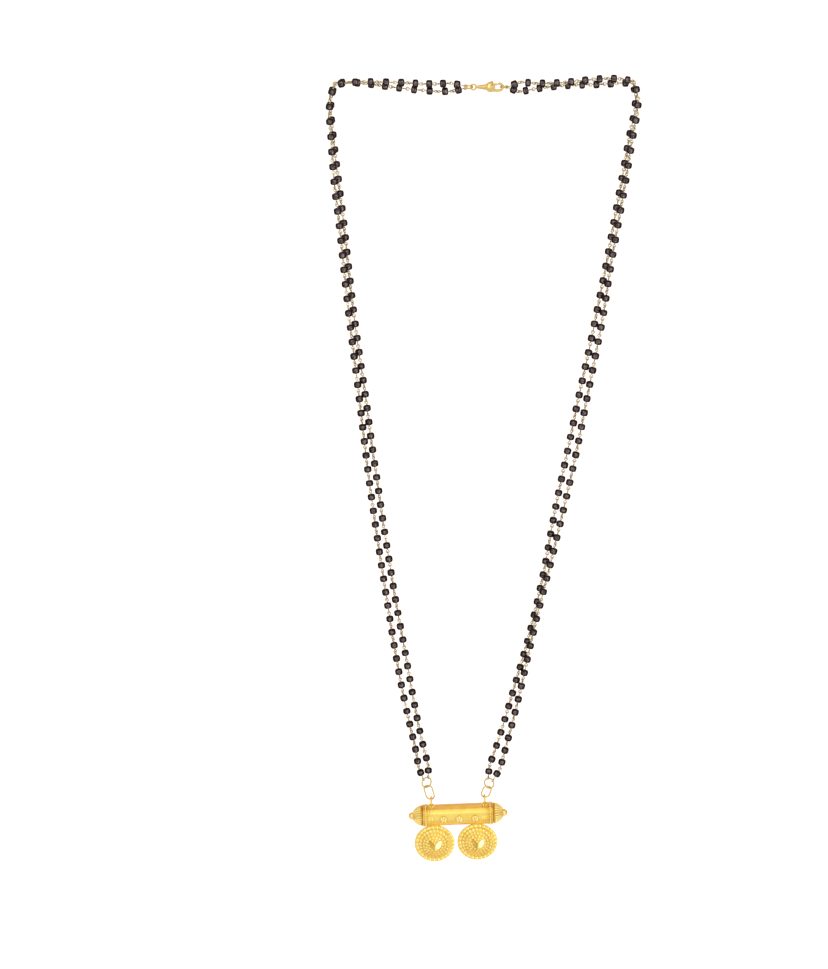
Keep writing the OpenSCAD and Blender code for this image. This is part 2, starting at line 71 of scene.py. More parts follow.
class Body(Enum):
    """CAD bodies that the pieces ride on."""

    NECKLACE = "necklace"
    PENDANT = "pendant"
    LEVER = "lever"


class Slot(Enum):
    """Material slots, one for each finish."""

    BLACK_GLASS = "black_glass"
    PIN_GOLD = "pin_gold"
    RING_GOLD = "ring_gold"
    CLASP_GOLD = "clasp_gold"
    PENDANT_GOLD = "pendant_gold"


class Side(Enum):
    """Strand of a pair, with its way out from the middle of the pair."""

    OUTER = 1
    INNER = -1


class Hand(Enum):
    """Half of the loop as the front is seen."""

    LEFT = -1
    RIGHT = 1


# Routes of the pair of strands: x, z, gap between the two, turn of the pair in
# degrees (0 is one in front of the other) and lead of the inner strand's beads.
LEFT_RUN = [
    (-6.9, -0.4, 1.8, 35, 0),
    (-12.4, -0.5, 4.3, 58, 1.0),
    (-19.4, -0.6, 3.4, 60, 0.2),
    (-30.0, 0.2, 3.2, 52, -0.9),
    (-40.0, 1.0, 3.2, 30, 0),
    (-48.0, 1.4, 3.2, 15, 0.8),
    (-54.6, 0.8, 3.2, 0, 0),
]
LEFT_LEG = [
    (-54.6, 0.8, 3.2, 0, 0),
    (-56.4, -6.5, 3.2, 5, 0),
    (-55.7, -18, 3.2, 10, 0),
    (-54.3, -35, 3.2, 26, 0.2),
    (-52.4, -52, 3.2, 28, 0.3),
    (-50.8, -69, 3.2, 30, 0.3),
    (-49.1, -86, 3.2, 32, 0.4),
    (-47.1, -103, 3.2, 36, 0.6),
    (-45.0, -120, 3.2, 46, 0.9),
    (-43.1, -137, 3.2, 52, 1.2),
    (-41.0, -154, 3.3, 62, 1.5),
    (-38.8, -171, 3.3, 64, 1.6),
    (-36.4, -188, 3.4, 66, 1.6),
    (-33.9, -205, 3.5, 68, 1.5),
    (-31.2, -222, 3.8, 76, 1.4),
    (-28.4, -239, 3.7, 74, 1.5),
    (-25.6, -254, 3.4, 70, 1.6),
    (-23.3, -265, 3.5, 60, 0.8),
    (-22.0, -271.6, 4.5, 58, -1.0),
    (-21.0, -277.1, 1.9, 60, 0),
]
RIGHT_RUN = [
    (8.1, -0.4, 1.5, 20, 0),
    (13.0, -0.4, 4.9, 60, 0.6),
    (20.0, 0.1, 3.4, 42, 0.8),
    (30.0, 0.8, 3.2, 32, 0.9),
    (40.0, 1.5, 3.2, 50, 0.8),
    (48.0, 1.9, 3.2, 46, 0.9),
    (54.2, 1.5, 3.2, 20, 0),
]
RIGHT_LEG = [
    (54.2, 1.5, 3.2, 20, 0),
    (55.8, -6, 3.2, 10, 0),
    (53.9, -18, 3.2, 14, 0),
    (51.5, -35, 3.2, 20, 0.1),
    (48.9, -52, 3.2, 24, 0.2),
    (46.3, -69, 3.2, 27, 0.2),
    (43.8, -86, 3.2, 46, 0.3),
    (40.9, -103, 3.2, 54, 0.4),
    (37.8, -120, 3.3, 66, 0.5),
    (34.9, -137, 3.4, 70, 0.6),
    (31.7, -154, 3.4, 72, 0.4),
    (28.5, -171, 3.3, 52, 0.2),
    (25.4, -188, 3.2, 28, 0),
    (21.9, -205, 3.2, 16, 0),
    (18.3, -222, 3.2, 22, 0.4),
    (14.7, -238, 3.2, 46, 1.0),
    (11.4, -252, 3.4, 62, 1.0),
    (8.3, -264, 3.7, 70, 0.6),
    (6.1, -271.9, 4.5, 68, -1.2),
    (4.4, -277.5, 1.9, 60, 0),
]
RUN_BEADS = 9
LEG_BEADS = 50
ROUTE_STEPS = 12

RING_WIRE = 0.55
TAIL_RING_D = 3.4
CATCH_RING_D = 3.1
UPPER_RING_D = 4.6
LINK_W = 4.0
HANG_GAP = 0.1
EYE_R = 0.65

PENDANT_AT = np.array([-8.3, 0.0, -292.65])
PENDANT_TILT = math.radians(2.4)

RIGHTWARD = np.array([1.0, 0.0, 0.0])
BACKWARD = np.array([0.0, 1.0, 0.0])
UPWARD = np.array([0.0, 0.0, 1.0])

# Relief of plain wire and of other parts without a pattern, and a low relief that paints shade on
# hidden or hollow backs and on inner walls. Tone of parts that aren't copies.
PLAIN_RELIEF = 0.6
BACK_RELIEF = 0.3
INNER_RELIEF = 0.2
PLAIN_TONE = 0.5

# Smallest width that a formula divides by
HAIR = 1e-6


def unit(vectors: Values) -> Values:
    """Scales each vector to a length of one.

    Args:
        vectors: Vectors along the last axis.

    Returns:
        The unit vectors.
    """
    return vectors / np.linalg.norm(vectors, axis=-1, keepdims=True)


def full_turn(count: int) -> Values:
    """Some equal steps of a full turn in radians, from 0 on."""
    return np.linspace(0, 2 * math.pi, count, endpoint=False)


def softened(first: Values, second: float, blend: float, way: int) -> Values:
    """The greater or the lesser of two values with a rounded step: half of their sum plus
    or minus the root of their squared difference and the squared blend.

    Args:
        first: Values.
        second: The value that they are held above or below.
        blend: Width of the rounded step.
        way: 1 for the greater and -1 for the lesser.

    Returns:
        The softened values.
    """
    return (first + second + way * np.sqrt((first - second) ** 2 + blend**2)) / 2


def fold(angles: Values, count: int) -> Values:
    """Angle from the middle of the nearest of some equal sectors.

    Args:
        angles: Angles in radians.
        count: Number of sectors in the full turn.

    Returns:
        Each angle less the nearest multiple of the sector's angle.
    """
    sector = 2 * math.pi / count
    return angles - np.round(angles / sector) * sector


@dataclass
class Shape:
    """A mesh in millimetres, with a relief value and a tone at each point.

    Relief is 0 in a recess and 1 on a crest. Materials read it for painted shade in recesses, a
    paler painted highlight on crests and their roughness. Some parts carry low values only to paint
    shade. Tone goes from 0 to 1 and differs from copy to copy.
    """

    points: Values
    quads: Corners
    triangles: Corners
    relief: Values
    tone: Values

    def placed(self, origin: Values, axes: Values) -> "Shape":
        """Moves the shape to another frame: origin plus each coordinate times its axis.

        Args:
            origin: Where the shape's own origin goes.
            axes: Rows that hold where its X, Y and Z axes point.

        Returns:
            The moved shape.
        """
        return Shape(
            origin + self.points @ axes, self.quads, self.triangles, self.relief, self.tone
        )

    def facing_out(self) -> "Shape":
        """Turns the faces round if the volume under them, summed by sixths of triple
        products of each triangle's corners, comes out negative.

        Returns:
            The shape with outward faces.
        """
        halves = [self.quads[:, [0, 1, 2]], self.quads[:, [0, 2, 3]], self.triangles]
        corner = self.points[np.concatenate(halves)]
        volume = np.einsum("ij,ij->i", corner[:, 0], np.cross(corner[:, 1], corner[:, 2])).sum()
        if volume >= 0:
            return self
        return Shape(
            self.points, self.quads[:, ::-1], self.triangles[:, ::-1], self.relief, self.tone
        )


def joined(shapes: list[Shape]) -> Shape:
    """Joins shapes into one, with each shape's corners counted on from the last.

    Args:
        shapes: Shapes in one frame.

    Returns:
        The joined shape.
    """
    starts = np.cumsum([0] + [len(s.points) for s in shapes[:-1]])
    return Shape(
        np.concatenate([s.points for s in shapes]),
        np.concatenate([s.quads + k for s, k in zip(shapes, starts)]),
        np.concatenate([s.triangles + k for s, k in zip(shapes, starts)]),
        np.concatenate([s.relief for s in shapes]),
        np.concatenate([s.tone for s in shapes]),
    )


def grid_quads(rows: int, columns: int, ring: bool) -> Corners:
    """Quads of a grid of points whose columns close into a loop.

    Args:
        rows: Number of rows.
        columns: Number of points in a row.
        ring: Whether the last row also joins the first.

    Returns:
        Four corners a face, counted along the rows.
    """
    row = np.arange(rows if ring else rows - 1)[:, None]
    column = np.arange(columns)[None, :]
    here = row * columns + column
    right = row * columns + (column + 1) % columns
    below = (row + 1) % rows * columns
    return np.stack(
        [here, right, below + (column + 1) % columns, below + column], axis=-1
    ).reshape(-1, 4)


def surface(points: Values, relief: Values | None, ring: bool) -> Shape:
    """Closed surface on a grid of points, with poles at its ends unless it is a ring.

    Args:
        points: Grid of points, as rows, columns and coordinates.
        relief: Relief value at each grid point, or None for a plain one.
        ring: Whether the last row joins the first.

    Returns:
        The shape, with its faces outwards.
    """
    if relief is None:
        relief = np.full(points.shape[:2], PLAIN_RELIEF)
    rows, columns = points.shape[:2]
    flat_points = points.reshape(-1, 3)
    flat_relief = relief.reshape(-1)
    triangles = np.zeros((0, 3), np.int64)
    if not ring:
        first, last = len(flat_points), len(flat_points) + 1
        column = np.arange(columns)
        after = (column + 1) % columns
        end = (rows - 1) * columns
        triangles = np.concatenate(
            [
                np.stack([np.full(columns, first), after, column], axis=-1),
                np.stack([np.full(columns, last), end + column, end + after], axis=-1),
            ]
        )
        poles = np.stack([points[0].mean(axis=0), points[-1].mean(axis=0)])
        flat_points = np.concatenate([flat_points, poles])
        flat_relief = np.concatenate([flat_relief, [relief[0].mean(), relief[-1].mean()]])
    shape = Shape(
        flat_points,
        grid_quads(rows, columns, ring),
        triangles,
        flat_relief,
        np.full(len(flat_points), PLAIN_TONE),
    )
    return shape.facing_out()


def lathe(
    radius: Values, height: Values, columns: int, ring: bool = False, relief: Values | None = None
) -> Shape:
    """Surface of revolution about Z: x = radius times cos(turn), y = radius times
    sin(turn) and z = height, where radius and height may also change with the turn.

    Args:
        radius: Radius in each row, or in each row and column.
        height: Height in each row, or in each row and column.
        columns: Points round the axis.
        ring: Whether the profile closes on itself, as round a bore.
        relief: Relief value in each row and column, or None for a plain one.

    Returns:
        The shape.
    """
    turn = full_turn(columns)
    radius = np.broadcast_to(radius.reshape(len(radius), -1), (len(radius), columns))
    height = np.broadcast_to(height.reshape(len(height), -1), (len(height), columns))
    points = np.stack([radius * np.cos(turn), radius * np.sin(turn), height], axis=-1)
    return surface(points, relief, ring)


def sweep(
    path: Values, radius: Values | float, normal: Values, sides: int, closed: bool = False
) -> Shape:
    """Round wire along a flat path: each ring of points is the path's point plus
    radius times (cos(turn) times the way across plus sin(turn) times the normal).

    Args:
        path: Points of the path, all in one plane.
        radius: Radius of the wire, or one at each point.
        normal: Normal of the path's plane.
        sides: Points round the wire.
        closed: Whether the path is a loop.

    Returns:
        The shape.
    """
    if closed:
        along = np.roll(path, -1, axis=0) - np.roll(path, 1, axis=0)
    else:
        along = np.gradient(path, axis=0)
    across = unit(np.cross(along, normal))
    turn = full_turn(sides)[None, :, None]
    spoke = np.cos(turn) * across[:, None, :] + np.sin(turn) * normal
    thick = np.broadcast_to(radius, len(path)).reshape(-1, 1, 1)
    return surface(path[:, None, :] + thick * spoke, None, closed)


def repeated(shape: Shape, points: Values, tone: Values) -> Shape:
    """One shape with its faces repeated, on points of its own for each copy.

    Args:
        shape: The shape to repeat.
        points: The points of each copy.
        tone: Tone of each copy, from 0 to 1.

    Returns:
        All the copies in one shape.
    """
    count, size = points.shape[:2]
    step = (np.arange(count) * size)[:, None, None]
    return Shape(
        points.reshape(-1, 3),
        (shape.quads[None] + step).reshape(-1, 4),
        (shape.triangles[None] + step).reshape(-1, 3),
        np.tile(shape.relief, count),
        np.repeat(tone, size),
    )


def copies(shape: Shape, origins: Values, axes: Values, tone: Values) -> Shape:
    """Copies of one shape, each in its own frame.

    Args:
        shape: The shape to repeat.
        origins: Origin of each copy.
        axes: Three axes of each copy, as rows.
        tone: Tone of each copy, from 0 to 1.

    Returns:
        All the copies in one shape.
    """
    points = origins[:, None, :] + np.einsum("pk,nkj->npj", shape.points, axes)
    return repeated(shape, points, tone)


def new_object(name: str, data: bpy.types.ID) -> bpy.types.Object:
    """Makes an object of a mesh, light or camera and links it to the scene.

    Args:
        name: Name of the object.
        data: What it shows.

    Returns:
        The object.
    """
    made = bpy.data.objects.new(name, data)
    bpy.context.scene.collection.objects.link(made)
    return made


def make_piece(
    name: str,
    shape: Shape,
    material: bpy.types.Material,
    body: Body,
    slot: Slot,
    node: str,
) -> None:
    """Writes a shape into a mesh object that rides on a body and stands for a CAD node.

    Args:
        name: Name of the piece.
        shape: The shape in millimetres.
        material: Its material.
        body: The CAD body that it rides on.
        slot: The slot of its finish; not used.
        node: The CAD node that it stands for, alone or with others.
    """
    mesh = bpy.data.meshes.new(name)
    quads, triangles = len(shape.quads), len(shape.triangles)
    corners = np.concatenate([shape.quads.reshape(-1), shape.triangles.reshape(-1)])
    totals = np.concatenate([np.full(quads, 4), np.full(triangles, 3)]).astype(np.int32)
    starts = np.concatenate([[0], np.cumsum(totals)[:-1]]).astype(np.int32)
    mesh.vertices.add(len(shape.points))
    mesh.vertices.foreach_set("co", (shape.points * MM).astype(np.float32).reshape(-1))
    mesh.loops.add(len(corners))
    mesh.loops.foreach_set("vertex_index", corners.astype(np.int32))
    mesh.polygons.add(quads + triangles)
    mesh.polygons.foreach_set("loop_start", starts)
    mesh.polygons.foreach_set("loop_total", totals)
    mesh.polygons.foreach_set("use_smooth", np.ones(quads + triangles, bool))
    mesh.update(calc_edges=True)
    mesh.validate()
    for label, values in (("relief", shape.relief), ("tone", shape.tone)):
        attribute = mesh.attributes.new(label, "FLOAT", "POINT")
        attribute.data.foreach_set("value", values.astype(np.float32))
    mesh.set_sharp_from_angle(angle=math.radians(SHARP_ANGLE))
    mesh.materials.append(material)
    piece = new_object(name, mesh)
    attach(piece, body.value)
    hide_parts(node)
    LOG.info("%s: %d faces on %s", name, quads + triangles, body.value)


@dataclass(frozen=True)
class RingFrame:
    """Place of a ring: its middle, the way out of the route and the way across."""

    middle: Values
    out: Values
    across: Values

    @property
    def axes(self) -> Values:
        """Rows that hold the ring's own X, Y and Z ways."""
        return np.stack([self.out, self.across, np.cross(self.out, self.across)])


@dataclass(frozen=True)
class Route:
    """One half of the loop: the pair's rows behind the neck and down to the pendant."""

    run: Rows
    leg: Rows
    hand: Hand

    def smooth(self, rows: Rows) -> Values:
        """Smooth curve through the rows, a Catmull-Rom blend of each four neighbours.

        Args:
            rows: Chosen rows of a route.

        Returns:
            The rows of the curve, ROUTE_STEPS to each stretch and the last one.
        """
        table = np.array(rows, float)
        i = np.arange(len(table) - 1)
        a, b = table[np.maximum(i - 1, 0)][:, None], table[i][:, None]
        c, d = table[i + 1][:, None], table[np.minimum(i + 2, len(table) - 1)][:, None]
        t = (np.arange(ROUTE_STEPS) / ROUTE_STEPS)[None, :, None]
        square = (2 * a - 5 * b + 4 * c - d) * t**2
        cube = (3 * b - a - 3 * c + d) * t**3
        curve = (2 * b + (c - a) * t + square + cube) / 2
        return np.concatenate([curve.reshape(-1, table.shape[1]), table[-1:]])

    def ways(self, curve: Values) -> tuple[Values, Values, Values]:
        """Middle of the pair, its heading and the way from the inner strand to the outer.

        Args:
            curve: Rows of a smooth curve.

        Returns:
            Three arrays of vectors, a row for each row of the curve.
        """
        middle = np.stack([curve[:, 0], 0 * curve[:, 0], curve[:, 1]], axis=-1)
        ahead = np.concatenate([middle[1:], middle[-1:]])
        behind = np.concatenate([middle[:1], middle[:-1]])
        heading = unit(ahead - behind)
        outward = self.hand.value * np.cross(heading, BACKWARD)
        turn = np.radians(curve[:, 3])[:, None]
        across = np.sin(turn) * outward - np.cos(turn) * BACKWARD
        return middle, heading, across

    def stations(self, rows: Rows, side: Side, count: int) -> Values:
        """Points an equal length apart along one strand, moved by the strand's lead.

        Args:
            rows: Chosen rows of a route.
            side: Strand of the pair.
            count: Number of equal lengths.

        Returns:
            One more point than there are lengths.
        """
        curve = self.smooth(rows)
        middle, _, across = self.ways(curve)
        line = middle + side.value * curve[:, 2:3] / 2 * across
        steps = np.linalg.norm(np.diff(line, axis=0), axis=1)
        lengths = np.concatenate([[0.0], np.cumsum(steps)])
        at = lengths[-1] * np.arange(count + 1) / count
        at = at + side.value * np.interp(at, lengths, curve[:, 4]) / 2
        return np.stack([np.interp(at, lengths, line[:, axis]) for axis in range(3)], axis=-1)

    def hooks(self, side: Side) -> Values:
        """Points where the strand's eye pins hook into each other, from the clasp down."""
        run = self.stations(self.run, side, RUN_BEADS)
        return np.concatenate([run, self.stations(self.leg, side, LEG_BEADS)[1:]])

    def end_ring(self, ring_d: float, at_clasp: bool) -> RingFrame:
        """Place of the ring that both strands hang in at an end.

        The ring's middle lies out of the route by the square root of its wire circle's
        radius squared less half of the pair's gap squared.

        Args:
            ring_d: Outer diameter of the ring.
            at_clasp: Whether it is the end at the clasp.

        Returns:
            The ring's place.
        """
        curve = self.smooth(self.run if at_clasp else self.leg)
        middle, heading, across = self.ways(curve)
        i = 0 if at_clasp else len(curve) - 1
        out = -heading[i] if at_clasp else heading[i]
        reach = math.sqrt(((ring_d - RING_WIRE) / 2) ** 2 - (curve[i, 2] / 2) ** 2)
        return RingFrame(middle[i] + out * reach, out, across[i])


@dataclass(frozen=True)
class Strand:
    """One string of beads on eye pins between two rings."""

    name: str
    route: Route
    side: Side
    upper: RingFrame
    lower: RingFrame
    seed: int

    def ends(self) -> Values:
        """Ends of the eye pins' straight lines: the hooks, but at both rings the point
        of the eye that faces the strand.

        Returns:
            One more point than there are pins.
        """
        hooks = self.route.hooks(self.side)
        first = hooks[0] + EYE_R * unit(hooks[0] - self.upper.middle)
        last = hooks[-1] + EYE_R * unit(hooks[-1] - self.lower.middle)
        return np.concatenate([[first], hooks[1:-1], [last]])

    def frames(self) -> tuple[Values, Values, Values]:
        """Frames of the pins, each with its first axis along it.

        Returns:
            Middle, length and three axes of each pin.
        """
        ends = self.ends()
        span = np.diff(ends, axis=0)
        length = np.linalg.norm(span, axis=1)
        along = span / length[:, None]
        across = unit(np.cross(BACKWARD, along))
        axes = np.stack([along, across, np.cross(along, across)], axis=1)
        return (ends[1:] + ends[:-1]) / 2, length, axes


@dataclass
class Beads:
    """Drilled glass beads: a barrel with rounded shoulders and a plain bore."""

    diameter: float = 3.0
    length: float = 2.4
    shoulder: float = 0.65
    bore: float = 0.9
    flare: float = 0.1
    flare_depth: float = 0.12
    columns: int = 16
    spread: tuple[float, float, float] = (0.12, 0.03, 0.03)
    tip: float = 0.06
    ease: float = 0.985

    def bead(self) -> Shape:
        """One bead about X, from its bore's profile round over its belly.

        The shoulder is a quarter circle, of which the profile takes the middle point.

        Returns:
            The bead.
        """
        half = self.length / 2
        belly = self.diameter / 2
        belly_half = half - self.shoulder
        middle = self.shoulder * math.sin(math.radians(45))
        mouth = self.bore / 2
        face = belly - self.shoulder
        radius = [mouth, mouth + self.flare, face, face + middle, belly]
        height = [half - self.flare_depth, half, half, belly_half + middle, belly_half]
        profile_r = np.array(radius + radius[::-1])
        profile_x = np.array(height + [-h for h in height[::-1]])
        shape = lathe(profile_r, profile_x, self.columns, ring=True)
        return shape.placed(np.zeros(3), np.stack([BACKWARD, UPWARD, RIGHTWARD]))

    def string(self, strand: Strand) -> Shape:
        """The strand's beads, each with its own size, and turned and tipped on its pin
        by its own random angles.

        Args:
            strand: Strand that the beads sit on.

        Returns:
            All its beads in one shape.
        """
        middle, length, axes = strand.frames()
        count = len(length)
        rng = np.random.default_rng(strand.seed)
        turn = rng.uniform(0, 2 * math.pi, count)[:, None]
        size = self.ease - np.array(self.spread) * rng.random((count, 3)) ** 2
        cos, sin = np.cos(turn), np.sin(turn)
        across = cos * axes[:, 1] + sin * axes[:, 2]
        along = unit(axes[:, 0] + self.tip * rng.uniform(-1, 1, (count, 1)) * across)
        upward = unit(np.cross(along, across))
        frames = np.stack([along, np.cross(upward, along), upward], axis=1) * size[:, :, None]
        return copies(self.bead(), middle, frames, rng.random(count))


@dataclass
class EyePins:
    """Gold pins through the beads, with an eye at each end that hooks into the next."""

    wire_r: float = 0.23
    eye_r: float = 0.6
    sides: int = 6
    eye_points: int = 13
    mouth_angle: float = 22.0
    neck: float = 0.14
    neck_bend: float = 0.03
    seed_step: int = 100

    def eye(self) -> Values:
        """Path of an eye about its own middle, in the XY plane, from its free end round
        to the neck, which points along +X.

        Returns:
            The points of the path.
        """
        turn = np.radians(np.linspace(-self.mouth_angle, self.mouth_angle - 360, self.eye_points))
        loop = self.eye_r * np.stack([np.cos(turn), np.sin(turn), 0 * turn], axis=-1)
        stem_x = self.eye_r + self.neck * np.array([1.0, 2.2])
        stem = np.stack([stem_x, [self.neck_bend, 0.0], [0.0, 0.0]], axis=-1)
        return np.concatenate([loop, stem])

    def chain(self, strand: Strand) -> Shape:
        """The strand's pins. Each is one wire, whose two eyes are turned about the pin
        so that every eye stands square to the one that it hooks into, and whose stem
        takes up the length between them.

        Args:
            strand: Strand that the pins run through.

        Returns:
            All its pins in one shape.
        """
        middle, length, axes = strand.frames()
        count = len(length)
        rng = np.random.default_rng(strand.seed + self.seed_step)
        hang = np.full(count, self.eye_r - self.wire_r)
        on_ring = EYE_R - (self.eye_r - self.wire_r - RING_WIRE / 2)
        start, stop = hang.copy(), hang.copy()
        start[0] = -on_ring
        stop[-1] = -on_ring
        open_turn = rng.uniform(0, math.pi, count + 1)
        first_turn = open_turn[:-1] + math.pi / 2
        last_turn = open_turn[1:]
        first_turn[0] = self.square_to(strand.upper, axes[0], strand.ends()[0])
        last_turn[-1] = self.square_to(strand.lower, axes[-1], strand.ends()[-1])

        eye = self.eye()
        far = eye[::-1] * np.array([-1.0, 1.0, 1.0])
        path = np.concatenate([eye, far])
        share = np.concatenate([np.zeros(len(eye)), np.ones(len(far))])
        pin = sweep(path, self.wire_r, UPWARD, self.sides)
        ring_share = np.concatenate([np.repeat(share, self.sides), [0.0, 1.0]])

        shift = (1 - ring_share) * (start - length / 2)[:, None]
        shift = shift + ring_share * (length / 2 - stop)[:, None]
        turn = (1 - ring_share) * first_turn[:, None] + ring_share * last_turn[:, None]
        x = pin.points[None, :, 0] + shift
        y = pin.points[:, 1] * np.cos(turn) - pin.points[:, 2] * np.sin(turn)
        z = pin.points[:, 1] * np.sin(turn) + pin.points[:, 2] * np.cos(turn)
        points = np.einsum("npk,nkj->npj", np.stack([x, y, z], axis=-1), axes)
        return repeated(pin, points + middle[:, None, :], rng.random(count))

    def square_to(self, ring: RingFrame, axes: Values, end: Values) -> float:
        """Turn of an eye about its pin that sets it square to a ring's wire.

        The eye's plane holds the pin and the ring's own normal.

        Args:
            ring: The ring that the eye hangs on.
            axes: Axes of the pin.
            end: End of the pin's line at the ring.

        Returns:
            The turn in radians.
        """
        tangent = np.cross(np.cross(ring.out, ring.across), end - ring.middle)
        upright = np.cross(tangent, axes[0])
        return math.atan2(float(upright @ axes[2]), float(upright @ axes[1]))


@dataclass
class Findings:
    """Jump rings and oval links of round wire, each with the cut where it was closed."""

    wire: float = RING_WIRE
    sides: int = 12
    steps: int = 56
    cut: float = 0.04
    cut_taper: float = 0.9

    def cut_wire(self, path: Values) -> Shape:
        """Wire along a flat path in the XY plane, a little thinner at its cut ends.

        Args:
            path: Points of the path.

        Returns:
            The wire.
        """
        radius = np.full(len(path), self.wire / 2)
        radius[[0, -1]] *= self.cut_taper
        return sweep(path, radius, UPWARD, self.sides)

    def ring(self, place: RingFrame, outer_d: float, cut_at: float) -> Shape:
        """Jump ring: a circle that leaves out a hair's gap where its ends meet.

        Args:
            place: Place of the ring.
            outer_d: Outer diameter.
            cut_at: Angle of the cut in degrees, from the way out of the route.

        Returns:
            The ring.
        """
        radius = (outer_d - self.wire) / 2
        half_cut = self.cut / 2 / radius
        turn = np.linspace(half_cut, 2 * math.pi - half_cut, self.steps) + math.radians(cut_at)
        path = radius * np.stack([np.cos(turn), np.sin(turn), 0 * turn], axis=-1)
        return self.cut_wire(path).placed(place.middle, place.axes)

    def link(self, top: Values, bottom: Values, turn: float) -> Shape:
        """Oval link: two half circles and two straights, cut in one straight.

        Args:
            top: Middle of the wire at its top.
            bottom: Middle of the wire at its bottom.
            turn: Turn in degrees about the line between them.

        Returns:
            The link.
        """
        length = float(np.linalg.norm(bottom - top))
        along = (bottom - top) / length
        side = unit(np.cross(BACKWARD, along))
        angle = math.radians(turn)
        across = math.cos(angle) * side + math.sin(angle) * np.cross(along, side)
        radius = (LINK_W - self.wire) / 2
        straight = length / 2 - radius
        bend = np.linspace(-math.pi / 2, math.pi / 2, self.steps // 2)
        right = np.stack([straight + radius * np.cos(bend), radius * np.sin(bend), 0 * bend], -1)
        left = right * np.array([-1.0, -1.0, 1.0])
        half_cut = self.cut / 2
        start = np.array([[half_cut, radius, 0.0]])
        stop = np.array([[-half_cut, radius, 0.0]])
        low = np.array([[0.0, -radius, 0.0]])
        wire = self.cut_wire(np.concatenate([stop, left, low, right, start]))
        axes = np.stack([along, across, np.cross(along, across)])
        return wire.placed((top + bottom) / 2, axes)


